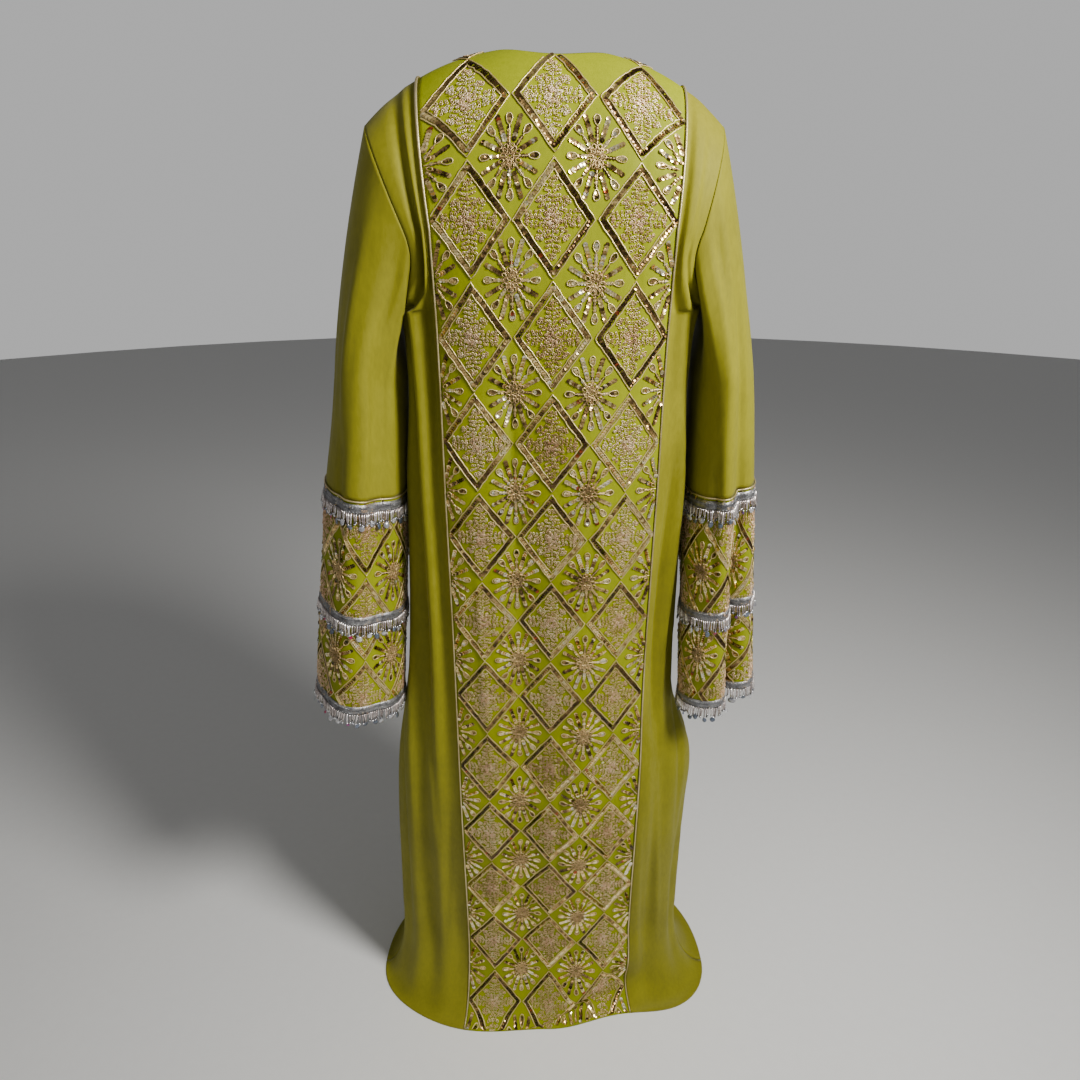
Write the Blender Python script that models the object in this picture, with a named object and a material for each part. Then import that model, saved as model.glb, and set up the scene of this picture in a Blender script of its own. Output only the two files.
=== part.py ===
# Long embroidered dress, standing open and filled out as if worn, its hem spread on the floor.
# The back faces -Y, the wearer's left is -X, and the origin lies between the shoulders at the neck.
# Every piece is a cloth wall laid on one body form or on one arm form, worked out from the sizes below.

import math
from collections import namedtuple

import bmesh
import bpy
import numpy as np
from mathutils import Vector

# Cloth, seams and heights, in metres
CLOTH = 0.0013
SEAM_GAP = 0.0003
LAID_GAP = 0.0004
FLOOR_Z = -1.42
BREAK_Z = -1.25
HEM_Z = FLOOR_Z + CLOTH + 0.0002
UNDERARM_Z = -0.245
BLADE_Z = -0.16
SEAM_Y = -0.012

# The embroidered panel and the shoulders. The front columns that meet the neckline are listed with
# their place along it, from the centre front to the shoulder.
PANEL_HALF = 0.136
NECK_HALF = 0.074
BACK_NECK_RISE = 0.77
FRONT_NECK_RISE = 0.30
FRONT_NECK_COLUMNS = {0.0: 0.0, 0.16: 0.45, 0.26: 0.80, 0.32: 1.0}
RIDGE_Z = 0.0262
RIDGE_FALL = 1.3
RIDGE_CURL = 14.0
RIDGE_SHIFT = -0.011
ARMHOLE_X = 0.165

# Rows of the cloth walls in each stretch of the body
SHOULDER_ROWS = 5
ARMHOLE_ROWS = 4
TRUNK_ROWS = 18
HEM_ROWS = 6

# Sleeve, cuff, braid and fringe
SLEEVE_RING_Z = -0.33
UNDERARM_EASE = 0.0007
CUFF_Z = -0.47
CUFF_RING_STEP = 0.07
SLEEVE_COLUMNS = 2 * (SHOULDER_ROWS + ARMHOLE_ROWS)
UPPER_SLEEVE_RINGS = 6
LOWER_SLEEVE_RINGS = 3
TRIM_TOPS = {"top": -0.474, "middle": -0.632, "bottom": -0.772}
BRAID_HEIGHT = 0.013
BRAID_THICK = 0.0012
FRINGE_DROP = 0.023
FRINGE_STAND = 0.0012
STRANDS_A_COLUMN = 2
STRAND_SHARE = 0.19
PIPING_WIDTH = 0.0024
PIPING_THICK = 0.0014
PIPING_START_ROW = 0.004

LEFT = -1
RIGHT = 1
SIDES = {"left": LEFT, "right": RIGHT}
TIP_SPREAD = {LEFT: 0.047, RIGHT: 0.026}

Section = namedtuple("Section", "z left right back front square")
SECTIONS = [
    Section(-1.27, 0.256, 0.222, -0.090, 0.150, 2.3),
    Section(-1.16, 0.252, 0.218, -0.094, 0.146, 2.3),
    Section(-1.03, 0.247, 0.222, -0.102, 0.140, 2.3),
    Section(-0.90, 0.236, 0.219, -0.101, 0.134, 2.4),
    Section(-0.82, 0.222, 0.189, -0.101, 0.130, 2.4),
    Section(-0.73, 0.207, 0.178, -0.102, 0.126, 2.4),
    Section(-0.60, 0.197, 0.176, -0.105, 0.122, 2.5),
    Section(-0.46, 0.190, 0.177, -0.110, 0.118, 2.6),
    Section(-0.32, 0.180, 0.173, -0.110, 0.116, 2.7),
    Section(-0.245, 0.187, 0.182, -0.110, 0.112, 2.7),
    Section(-0.20, 0.207, 0.203, -0.110, 0.108, 2.6),
    Section(-0.16, 0.235, 0.232, -0.109, 0.105, 2.6),
]

# Depth of each lengthwise fold line, out from the form, at six heights. A share of 0 is the panel's
# seam or the centre front, and 1 is the armhole or the side seam.
Fold = namedtuple("Fold", "share hem knee hip waist underarm blade")
FOLD_HEIGHTS = (-1.27, -1.03, -0.75, -0.46, -0.25, -0.16)
BACK_FOLDS = {
    LEFT: [
        Fold(0.00, 0.000, 0.000, 0.000, 0.000, 0.000, 0.000),
        Fold(0.13, -0.005, -0.003, -0.004, -0.007, -0.007, -0.003),
        Fold(0.29, 0.004, 0.004, 0.005, 0.008, 0.007, 0.003),
        Fold(0.46, -0.008, -0.005, -0.006, -0.008, -0.007, -0.003),
        Fold(0.62, 0.006, 0.004, 0.004, 0.004, 0.002, 0.000),
        Fold(0.80, -0.005, -0.002, 0.003, 0.003, 0.000, 0.000),
        Fold(0.92, 0.003, 0.002, 0.000, 0.000, 0.000, 0.000),
        Fold(1.00, 0.000, 0.000, 0.000, 0.000, 0.000, 0.000),
    ],
    RIGHT: [
        Fold(0.00, 0.000, 0.000, 0.000, 0.000, 0.000, 0.000),
        Fold(0.13, 0.005, 0.004, -0.003, -0.004, -0.004, -0.002),
        Fold(0.29, -0.006, -0.004, -0.009, -0.005, 0.004, 0.003),
        Fold(0.46, 0.003, 0.002, -0.004, 0.007, 0.004, 0.002),
        Fold(0.62, 0.006, 0.003, 0.000, -0.002, -0.005, -0.002),
        Fold(0.80, -0.006, -0.003, 0.006, 0.002, 0.000, 0.000),
        Fold(0.92, 0.003, 0.002, 0.000, 0.000, 0.000, 0.000),
        Fold(1.00, 0.000, 0.000, 0.000, 0.000, 0.000, 0.000),
    ],
}
PANEL_FOLDS = [
    Fold(-1.00, 0.000, 0.000, 0.000, 0.000, 0.000, 0.000),
    Fold(-0.78, 0.002, 0.001, 0.001, 0.001, 0.000, 0.000),
    Fold(-0.56, 0.002, 0.000, -0.001, -0.001, 0.000, 0.000),
    Fold(-0.30, -0.005, -0.007, -0.008, -0.006, -0.002, 0.000),
    Fold(0.00, 0.000, -0.001, -0.002, -0.001, 0.000, 0.000),
    Fold(0.30, 0.004, 0.004, 0.003, 0.002, 0.001, 0.000),
    Fold(0.56, 0.000, 0.000, 0.001, 0.000, 0.000, 0.000),
    Fold(0.78, -0.003, -0.003, -0.002, 0.000, 0.000, 0.000),
    Fold(1.00, 0.000, 0.000, 0.000, 0.000, 0.000, 0.000),
]
FRONT_FOLDS = {
    LEFT: [
        Fold(0.00, 0.004, 0.003, 0.002, 0.001, 0.000, 0.000),
        Fold(0.16, -0.004, -0.003, -0.002, -0.001, 0.000, 0.000),
        Fold(0.26, 0.003, 0.003, 0.002, 0.001, 0.000, 0.000),
        Fold(0.32, 0.006, 0.005, 0.004, 0.002, 0.000, 0.000),
        Fold(0.52, -0.008, -0.007, -0.005, -0.003, -0.001, 0.000),
        Fold(0.70, 0.008, 0.006, 0.005, 0.004, 0.002, 0.000),
        Fold(0.86, -0.006, -0.005, -0.004, -0.004, -0.002, 0.000),
        Fold(1.00, 0.000, 0.000, 0.000, 0.000, 0.000, 0.000),
    ],
    RIGHT: [
        Fold(0.00, 0.004, 0.003, 0.002, 0.001, 0.000, 0.000),
        Fold(0.16, 0.005, 0.003, 0.001, 0.000, 0.000, 0.000),
        Fold(0.26, 0.000, 0.000, 0.000, 0.000, 0.000, 0.000),
        Fold(0.32, -0.004, -0.004, -0.003, -0.001, 0.000, 0.000),
        Fold(0.52, 0.006, 0.005, 0.005, 0.003, 0.001, 0.000),
        Fold(0.70, -0.007, -0.006, -0.005, -0.004, -0.002, 0.000),
        Fold(0.86, 0.005, 0.004, 0.003, 0.002, 0.001, 0.000),
        Fold(1.00, 0.000, 0.000, 0.000, 0.000, 0.000, 0.000),
    ],
}

# How far the hem spreads on the floor, and the break where the panel doubles under at its right
SPREAD_CENTRE = {"back": 0.050, "front": 0.056}
SPREAD_SIDE = {LEFT: 0.047, RIGHT: 0.066}
SPREAD_CORNER = {("back", LEFT): 0.012, ("back", RIGHT): -0.024, ("front", LEFT): 0.006, ("front", RIGHT): 0.010}
POOL_BULGE = 0.010
POOL_TUCK = 0.016
POOL_START = 0.26
POOL_SLOPE = 4.4
POOL_REACH = 0.113
POOL_WIDTH = 0.20
POOL_END = 0.20
POOL_FADE = 0.09
POOL_TUCK_BELOW = 0.30
POOL_EASE = 0.12

# Each arm as rings: height, centre, half widths, and how far the outer side swings to the front
Arm = namedtuple("Arm", "z x y across deep swing")
ARMS = {
    LEFT: [
        Arm(-0.84, 0.2890, -0.042, 0.0630, 0.074, 0.004),
        Arm(-0.785, 0.2825, -0.040, 0.0620, 0.074, 0.004),
        Arm(-0.72, 0.2745, -0.038, 0.0600, 0.075, 0.003),
        Arm(-0.64, 0.2650, -0.034, 0.0570, 0.076, 0.002),
        Arm(-0.55, 0.2555, -0.030, 0.0545, 0.078, 0.001),
        Arm(-0.47, 0.2470, -0.026, 0.0520, 0.079, 0.000),
        Arm(-0.40, 0.2378, -0.022, 0.0480, 0.079, 0.000),
        Arm(-0.33, 0.2300, -0.020, 0.0445, 0.078, 0.000),
    ],
    RIGHT: [
        Arm(-0.84, 0.2500, -0.038, 0.0580, 0.056, 0.018),
        Arm(-0.785, 0.2480, -0.038, 0.0565, 0.057, 0.017),
        Arm(-0.72, 0.2430, -0.035, 0.0550, 0.060, 0.015),
        Arm(-0.64, 0.2380, -0.031, 0.0515, 0.064, 0.012),
        Arm(-0.55, 0.2310, -0.026, 0.0490, 0.070, 0.008),
        Arm(-0.47, 0.2265, -0.021, 0.0440, 0.075, 0.005),
        Arm(-0.40, 0.2200, -0.017, 0.0395, 0.080, 0.002),
        Arm(-0.33, 0.2145, -0.015, 0.0350, 0.082, 0.000),
    ],
}
RING_TILT = {LEFT: 0.20, RIGHT: 0.15}

# Lengthwise folds of each sleeve: angle back from the outer side, width, and depth at four heights
SleeveFold = namedtuple("SleeveFold", "angle width hem middle cuff upper")
SLEEVE_FOLD_HEIGHTS = (-0.785, -0.64, -0.47, -0.33)
SLEEVE_FOLDS = {
    LEFT: [
        SleeveFold(124, 16, -0.005, -0.006, -0.007, -0.008),
        SleeveFold(86, 20, 0.003, 0.003, 0.004, 0.004),
        SleeveFold(48, 16, -0.004, -0.003, -0.002, -0.003),
        SleeveFold(236, 18, -0.006, -0.005, -0.005, -0.004),
        SleeveFold(300, 18, -0.006, -0.004, -0.003, -0.004),
    ],
    RIGHT: [
        SleeveFold(68, 17, -0.044, -0.032, -0.018, -0.008),
        SleeveFold(100, 18, 0.002, 0.003, 0.004, 0.003),
        SleeveFold(236, 18, -0.006, -0.005, -0.005, -0.004),
        SleeveFold(300, 18, -0.007, -0.005, -0.004, -0.004),
    ],
}

COLOURS = {
    "crepe": (0.330, 0.290, 0.035, 1.0),
    "embroidered": (0.300, 0.210, 0.060, 1.0),
    "braid": (0.230, 0.225, 0.240, 1.0),
    "gold": (0.560, 0.400, 0.160, 1.0),
}
FINISHES = {"crepe": (0.75, 0.0), "embroidered": (0.60, 0.2), "braid": (0.45, 0.5), "gold": (0.40, 0.6)}


def curve_through(places, values, at):
    """Smooth curve through a few points, in order of rising place, held level past its ends."""
    at = min(max(at, places[0]), places[-1])
    k = min(int(np.searchsorted(places, at, side="right")) - 1, len(places) - 2)
    slopes = np.gradient(np.asarray(values, float), np.asarray(places, float))
    step = places[k + 1] - places[k]
    t = (at - places[k]) / step
    start = (2 * t**3 - 3 * t**2 + 1) * values[k] + (t**3 - 2 * t**2 + t) * step * slopes[k]
    end = (-2 * t**3 + 3 * t**2) * values[k + 1] + (t**3 - t**2) * step * slopes[k + 1]
    return start + end


def read(table, column, at):
    """One column of a table of rings, read at a height."""
    return curve_through([row.z for row in table], [getattr(row, column) for row in table], at)


def unit(vector):
    return vector / np.linalg.norm(vector)


# The body form: a back half and a front half, each a left and a right quarter of a squarish oval

QUARTERS = {}


def quarter(face, side, z):
    """Distances along a quarter section from its centre line, and its points."""
    key = (face, side, round(z, 7))
    if key not in QUARTERS:
        half = read(SECTIONS, "left" if side == LEFT else "right", z)
        depth = read(SECTIONS, face, z) - SEAM_Y
        power = 2 / read(SECTIONS, "square", z)
        angle = np.linspace(0, math.pi / 2, 121)
        x = side * half * np.sin(angle) ** power
        y = SEAM_Y + depth * np.maximum(np.cos(angle), 0) ** power
        steps = np.hypot(np.diff(x), np.diff(y))
        QUARTERS[key] = (np.concatenate([[0], np.cumsum(steps)]), x, y)
    return QUARTERS[key]


def section_point(face, side, reach, z):
    lengths, x, y = quarter(face, side, z)
    return np.interp(reach, lengths, x), np.interp(reach, lengths, y)


def edge_reach(face, side, z):
    """Distance from the centre line to the side seam, or to the armhole above the underarm."""
    lengths = quarter(face, side, z)[0]
    if z <= UNDERARM_Z:
        return lengths[-1]
    at_blade, x, _ = quarter(face, side, BLADE_Z)
    share = np.interp(ARMHOLE_X, np.abs(x), at_blade) / at_blade[-1]
    fall = min(max((BLADE_Z - z) / (BLADE_Z - UNDERARM_Z), 0), 1)
    return lengths[-1] * (share + (1 - share) * (1 - math.sqrt(1 - fall * fall)))


def height_of(row):
    """Height of a row: 0 to 1 is the shoulder, 1 to 2 the armhole, 2 to 3 the trunk, 3 to 4 the hem."""
    if row <= 1:
        return BLADE_Z
    if row <= 2:
        return BLADE_Z - (BLADE_Z - UNDERARM_Z) * math.sin((row - 1) * math.pi / 2)
    if row <= 3:
        return UNDERARM_Z + (BREAK_Z - UNDERARM_Z) * (row - 2)
    return BREAK_Z - (BREAK_Z - HEM_Z) * math.sin((row - 3) * math.pi / 2)


def ridge_height(x):
    aside = (x - RIDGE_SHIFT) ** 2
    return RIDGE_Z - RIDGE_FALL * aside - RIDGE_CURL * aside**2


def hem_spread(face, side, share, fall):
    """How far the cloth stands out of the form between the break and the floor."""
    ease = share * share * (3 - 2 * share)
    width = SPREAD_CENTRE[face] * (1 - ease) + SPREAD_SIDE[side] * ease
    width += SPREAD_CORNER[face, side] * math.sin(share * math.pi) ** 2
    return width * (1 - math.cos(fall * math.pi / 2))


def pool_fold(face, side, reach, fall):
    """The break at the right of the panel: a bulge that runs down to the left, and a tuck below it."""
    if face == "front":
        return 0.0
    across = side * reach
    fade = min(max((POOL_END - across) / POOL_FADE, 0), 1)
    ridge = POOL_START + POOL_SLOPE * max(POOL_REACH - across, 0)
    bulge = POOL_BULGE * math.exp(-(((fall - ridge) / POOL_WIDTH) ** 2))
    tuck = POOL_TUCK * math.exp(-(((fall - ridge - POOL_TUCK_BELOW) / POOL_WIDTH) ** 2))
    return fade * (bulge - tuck) * min(1, fall / POOL_EASE, (1 - fall) / POOL_EASE)


def form_point(face, side, reach, row):
    """A point of the body form, from its distance round from the centre line and its row."""
    if row < 1:
        rise = 1 - row
        x0, y0 = section_point(face, side, reach, BLADE_Z)
        x = x0 + side * TIP_SPREAD[side] * (1 - (1 - rise) ** 2) * (abs(x0) / ARMHOLE_X) ** 6
        y = SEAM_Y + (y0 - SEAM_Y) * math.cos(rise * math.pi / 2)
        z = BLADE_Z + (ridge_height(x) - BLADE_Z) * math.sin(rise * math.pi / 2)
        return np.array([x, y, z])
    z = height_of(row)
    if row <= 3:
        return np.array([*section_point(face, side, reach, z), z])
    fall = row - 3
    lengths = quarter(face, side, BREAK_Z)[0]
    x, y = section_point(face, side, reach, BREAK_Z)
    x1, y1 = section_point(face, side, min(reach + 0.002, lengths[-1]), BREAK_Z)
    x0, y0 = section_point(face, side, max(reach - 0.002, 0), BREAK_Z)
    away = unit(np.array([abs(y1 - y0) * side, abs(x1 - x0) * (-1 if face == "back" else 1)]))
    out = hem_spread(face, side, reach / lengths[-1], fall) + pool_fold(face, side, reach, fall)
    return np.array([x + away[0] * out, y + away[1] * out, z])


def form_normal(face, side, reach, row):
    """The form's own outward direction, without folds, so that pieces meet evenly at a seam."""
    limit = quarter(face, side, height_of(row))[0][-1]
    if row > 3:
        limit = quarter(face, side, BREAK_Z)[0][-1]
    low, high = max(reach - 0.001, 0), min(reach + 0.001, limit)
    above, below = max(row - 0.01, 0), min(row + 0.01, 4)
    across = form_point(face, side, high, row) - form_point(face, side, low, row)
    down = form_point(face, side, reach, below) - form_point(face, side, reach, above)
    normal = unit(np.cross(across, down))
    point = form_point(face, side, reach, row)
    outward = np.array([point[0], point[1] - SEAM_Y, 0.1])
    return normal if normal @ outward > 0 else -normal


def fold_depth(folds, share, row):
    """Depth of the lengthwise folds at a place across a piece, fading out over the shoulder."""
    z = height_of(row)
    depths = [curve_through(FOLD_HEIGHTS, fold[1:], z) for fold in folds]
    depth = curve_through([fold.share for fold in folds], depths, share)
    fade = min(row, 1) * (1 - max(row - 3, 0))
    return depth * fade


def body_rows():
    rows = [k / SHOULDER_ROWS for k in range(SHOULDER_ROWS)]
    rows += [1 + k / ARMHOLE_ROWS for k in range(ARMHOLE_ROWS)]
    rows += [2 + k / TRUNK_ROWS for k in range(TRUNK_ROWS)]
    rows += [3 + k / HEM_ROWS for k in range(HEM_ROWS + 1)]
    return rows


def neck_start(face, reach):
    """Row at which a column starts: the shoulder seam, or the neckline between the shoulders."""
    inset = min(reach / NECK_HALF, 1)
    if face == "back":
        return (1 - BACK_NECK_RISE) * (1 - inset**2)
    return (1 - FRONT_NECK_RISE) * (1 - inset**2.2)


def lowered(row, start):
    """A shoulder row moved down so that its column starts at the neckline."""
    return row if row >= 1 else start + (1 - start) * row


# Meshes: a cloth wall from its outer points and its inner points

COLLECTION = bpy.data.collections.new("afghan_dress")
bpy.context.scene.collection.children.link(COLLECTION)


def material(name):
    if name in bpy.data.materials:
        return bpy.data.materials[name]
    made = bpy.data.materials.new(name)
    made.use_nodes = True
    shader = made.node_tree.nodes["Principled BSDF"]
    shader.inputs["Base Color"].default_value = COLOURS[name]
    shader.inputs["Roughness"].default_value, shader.inputs["Metallic"].default_value = FINISHES[name]
    return made


def grid_wall(outer, inner, closed):
    """A closed wall between two layers of rows by columns; a closed one runs round a tube."""
    rows, columns = outer.shape[:2]
    mesh = bmesh.new()
    bmesh.ops.create_grid(mesh, x_segments=columns - 1, y_segments=rows - 1, size=1)
    place = mesh.verts.layers.int.new("place")
    for vert in mesh.verts:
        column = round((vert.co.x + 1) / 2 * (columns - 1))
        row = round((vert.co.y + 1) / 2 * (rows - 1))
        vert[place] = row * columns + column
        vert.co = outer[row, column]
    if closed:
        bmesh.ops.remove_doubles(mesh, verts=mesh.verts, dist=1e-6)
    second = bmesh.ops.extrude_face_region(mesh, geom=mesh.faces[:], use_keep_orig=True)
    for item in second["geom"]:
        if isinstance(item, bmesh.types.BMVert):
            item.co = inner[divmod(item[place], columns)]
    bmesh.ops.recalc_face_normals(mesh, faces=mesh.faces)
    return mesh


def add_object(name, mesh, look):
    data = bpy.data.meshes.new(name)
    mesh.to_mesh(data)
    mesh.free()
    data.materials.append(material(look))
    data.shade_smooth()
    data.set_sharp_from_angle(angle=math.radians(50))
    made = bpy.data.objects.new(name, data)
    COLLECTION.objects.link(made)


# Body pieces


def body_wall(name, columns, look):
    """A body piece from its columns, each a function of the row that gives face, side, reach, depth."""
    outer, inner = [], []
    for row in body_rows():
        outer_row, inner_row = [], []
        for column in columns:
            face, side, reach, own_row, depth = column(row)
            normal = form_normal(face, side, reach, own_row)
            point = form_point(face, side, reach, own_row) + normal * depth
            if own_row < 0.001:
                point[1] += SEAM_GAP / 2 * (-1 if face == "back" else 1)
            outer_row.append(point)
            inner_row.append(point - normal * CLOTH)
        outer.append(outer_row)
        inner.append(inner_row)
    add_object(name, grid_wall(np.array(outer), np.array(inner), closed=False), look)


def panel_column(share):
    side = LEFT if share < 0 else RIGHT
    reach = abs(share) * (PANEL_HALF - SEAM_GAP / 2)
    start = neck_start("back", reach)

    def column(row):
        depth = fold_depth(PANEL_FOLDS, share, row)
        return "back", side, reach, lowered(row, start), depth

    return column


def side_back_column(side, share):
    def column(row):
        edge = edge_reach("back", side, height_of(row) if row <= 3 else BREAK_Z)
        inside = PANEL_HALF + SEAM_GAP / 2
        reach = inside + share * (edge - SEAM_GAP / 2 - inside)
        return "back", side, reach, row, fold_depth(BACK_FOLDS[side], share, row)

    return column


def front_column(side, share):
    def column(row):
        edge = edge_reach("front", side, height_of(row) if row <= 3 else BREAK_Z) - SEAM_GAP / 2
        reach = share * edge
        at_neck = NECK_HALF * FRONT_NECK_COLUMNS.get(share, 1.0)
        if share in FRONT_NECK_COLUMNS and row < 1:
            reach = at_neck * (1 - row) + reach * row
        start = neck_start("front", at_neck)
        return "front", side, reach, lowered(row, start), fold_depth(FRONT_FOLDS[side], share, row)

    return column


def make_body():
    body_wall("back_panel", [panel_column(fold.share) for fold in PANEL_FOLDS], "embroidered")
    for word, side in SIDES.items():
        columns = [side_back_column(side, fold.share) for fold in BACK_FOLDS[side]]
        body_wall(f"back_{word}", columns, "crepe")
    left = [front_column(LEFT, fold.share) for fold in reversed(FRONT_FOLDS[LEFT])]
    right = [front_column(RIGHT, fold.share) for fold in FRONT_FOLDS[RIGHT][1:]]
    body_wall("front", left + right, "crepe")


def make_panel_piping():
    """A fine piping along each seam of the panel, laid on the cloth."""
    half = PIPING_WIDTH / 2
    for word, side in SIDES.items():
        outer, inner = [], []
        for row in body_rows():
            outer_row, inner_row = [], []
            for aside, height in ((-half, 0.0), (0.0, PIPING_THICK), (half, 0.0)):
                own_row = max(row, PIPING_START_ROW)
                seat = form_point("back", side, PANEL_HALF + aside, own_row)
                normal = form_normal("back", side, PANEL_HALF, own_row)
                if row > 3:
                    seat = seat + normal * (LAID_GAP * (row - 3))
                outer_row.append(seat + normal * (LAID_GAP + (PIPING_THICK + height) / 2))
                inner_row.append(seat + normal * LAID_GAP)
            outer.append(outer_row)
            inner.append(inner_row)
        add_object(f"piping_{word}", grid_wall(np.array(outer), np.array(inner), closed=False), "gold")


# Sleeves, cuffs, braid and fringe


def arm_ring(side, angle, z):
    """A point of the arm form on the ring at a height, at an angle back from the outer side."""
    arm = ARMS[side]
    across = read(arm, "across", z)
    ahead = read(arm, "swing", z) * math.cos(angle)
    point = np.array([
        side * (read(arm, "x", z) + across * math.cos(angle)),
        read(arm, "y", z) + ahead - read(arm, "deep", z) * math.sin(angle),
        z + RING_TILT[side] * across * math.cos(angle),
    ])
    centre = np.array([side * read(arm, "x", z), read(arm, "y", z), z])
    return point + unit(point - centre) * sleeve_fold_depth(side, angle, z)


def sleeve_fold_depth(side, angle, z):
    depth = 0.0
    for fold in SLEEVE_FOLDS[side]:
        away = (math.degrees(angle) - fold.angle + 180) % 360 - 180
        depth += curve_through(SLEEVE_FOLD_HEIGHTS, fold[2:], z) * math.exp(-((away / fold.width) ** 2))
    return depth


def armhole_points(side):
    """The armhole from the shoulder down its back edge to the underarm, and up its front edge."""
    points = []
    for face in ("back", "front"):
        rows = [k / SHOULDER_ROWS for k in range(SHOULDER_ROWS)]
        rows += [1 + k / ARMHOLE_ROWS for k in range(ARMHOLE_ROWS + 1)]
        edge = [form_point(face, side, edge_reach(face, side, height_of(row)), row) for row in rows]
        points.append(edge)
    back, front = points
    return back + front[-2:0:-1]


def sleeve_point(side, column, level, armhole):
    """Level 0 is the armhole, 1 the first full ring, and past 1 the metres down from that ring."""
    angle = column * 2 * math.pi / SLEEVE_COLUMNS
    if level >= 1:
        return arm_ring(side, angle, SLEEVE_RING_Z - (level - 1))
    clear = LAID_GAP + UNDERARM_EASE * (1 - math.cos(angle)) / 2
    start = armhole[column % SLEEVE_COLUMNS] + np.array([side * clear, 0, 0])
    end = arm_ring(side, angle, SLEEVE_RING_Z)
    length = np.linalg.norm(end - start)
    outer = (1 + math.cos(angle)) / 2
    leave = length * np.array([side * (0.22 + 0.08 * outer), 0, -0.95])
    arrive = length * np.array([side * 0.12, 0, -0.85])
    t = level
    point = (2 * t**3 - 3 * t**2 + 1) * start + (t**3 - 2 * t**2 + t) * leave
    return point + (-2 * t**3 + 3 * t**2) * end + (t**3 - t**2) * arrive


def tube_layers(side, levels, stand, thick):
    """Two layers of a tube round the arm: its outer points, stood off the form, and its inner ones."""
    armhole = armhole_points(side)
    outer, inner = [], []
    for level in levels:
        ring = [sleeve_point(side, k, level, armhole) for k in range(SLEEVE_COLUMNS)]
        lower = [sleeve_point(side, k, level + 0.01, armhole) for k in range(SLEEVE_COLUMNS)]
        upper = [sleeve_point(side, k, max(level - 0.01, 0), armhole) for k in range(SLEEVE_COLUMNS)]
        outer_row, inner_row = [], []
        for k in range(SLEEVE_COLUMNS + 1):
            here = k % SLEEVE_COLUMNS
            ahead = unit(ring[(here + 1) % SLEEVE_COLUMNS] - ring[here])
            behind = unit(ring[here] - ring[here - 1])
            normal = unit(np.cross(lower[here] - upper[here], ahead + behind)) * -side
            outer_row.append(ring[here] + normal * stand)
            inner_row.append(ring[here] + normal * (stand - thick))
        outer.append(outer_row)
        inner.append(inner_row)
    return np.array(outer), np.array(inner)


def level_at(z):
    return 1 + SLEEVE_RING_Z - z


def make_sleeves():
    gap = SEAM_GAP / 2
    for word, side in SIDES.items():
        levels = [k / UPPER_SLEEVE_RINGS for k in range(UPPER_SLEEVE_RINGS)]
        step = (SLEEVE_RING_Z - CUFF_Z - gap) / LOWER_SLEEVE_RINGS
        levels += [1 + k * step for k in range(LOWER_SLEEVE_RINGS + 1)]
        add_object(f"sleeve_{word}", grid_wall(*tube_layers(side, levels, 0, CLOTH), closed=True), "crepe")
        heights = [CUFF_Z - gap, TRIM_TOPS["top"] - BRAID_HEIGHT]
        for top in (TRIM_TOPS["middle"], TRIM_TOPS["bottom"]):
            heights += [top + CUFF_RING_STEP, top, top - BRAID_HEIGHT]
        levels = [level_at(z) for z in heights]
        add_object(f"cuff_{word}", grid_wall(*tube_layers(side, levels, 0, CLOTH), closed=True), "embroidered")
        levels = [level_at(CUFF_Z + PIPING_WIDTH / 2), level_at(CUFF_Z - PIPING_WIDTH / 2)]
        layers = tube_layers(side, levels, LAID_GAP + PIPING_THICK, PIPING_THICK)
        add_object(f"cuff_piping_{word}", grid_wall(*layers, closed=True), "gold")


def divided(layer, shares):
    """The same rings with more points, on the straight edges between the old ones."""
    parts = []
    for k in range(layer.shape[1] - 1):
        for share in shares[:-1]:
            parts.append(layer[:, k] * (1 - share) + layer[:, k + 1] * share)
    return np.stack(parts + [layer[:, 0]], axis=1)


def make_trims():
    """Braid with a fringe: a narrow ring laid on the cuff, strands drawn down from its lower edge."""
    pitch = 1 / STRANDS_A_COLUMN
    shares = [0]
    for k in range(STRANDS_A_COLUMN):
        middle = (k + 0.5) * pitch
        shares += [middle - STRAND_SHARE / 2, middle + STRAND_SHARE / 2]
    shares.append(1)
    for word, side in SIDES.items():
        for place, top in TRIM_TOPS.items():
            levels = [level_at(top), level_at(top - BRAID_HEIGHT)]
            outer, inner = tube_layers(side, levels, LAID_GAP + BRAID_THICK, BRAID_THICK)
            outer, inner = divided(outer, shares), divided(inner, shares)
            mesh = grid_wall(outer, inner, closed=True)
            low = level_at(top - BRAID_HEIGHT - FRINGE_DROP)
            ends = tube_layers(side, [low, low], FRINGE_STAND + BRAID_THICK, BRAID_THICK)
            end_outer, end_inner = (divided(layer, shares)[0] for layer in ends)
            braid_fringe(mesh, outer[1], inner[1], end_outer, end_inner)
            add_object(f"trim_{word}_{place}", mesh, "braid")


def braid_fringe(mesh, root_outer, root_inner, end_outer, end_inner):
    """Draws every second narrow face of the braid's lower edge down into a strand."""
    per_column = 2 * STRANDS_A_COLUMN + 1
    mesh.faces.ensure_lookup_table()
    for k in range(len(root_outer) - 1):
        if k % per_column % 2 == 0:
            continue
        corners = [root_outer[k], root_outer[k + 1], root_inner[k + 1], root_inner[k]]
        middle = sum(corners) / 4
        face = min(mesh.faces, key=lambda f: (f.calc_center_median() - Vector(middle)).length)
        drawn = bmesh.ops.extrude_discrete_faces(mesh, faces=[face])["faces"][0]
        ends = [end_outer[k], end_outer[k + 1], end_inner[k + 1], end_inner[k]]
        for vert in drawn.verts:
            nearest = min(range(4), key=lambda c: np.linalg.norm(np.array(vert.co) - corners[c]))
            vert.co = ends[nearest]
    bmesh.ops.recalc_face_normals(mesh, faces=mesh.faces)


for old in list(bpy.data.objects):
    bpy.data.objects.remove(old, do_unlink=True)
make_body()
make_panel_piping()
make_sleeves()
make_trims()
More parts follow.
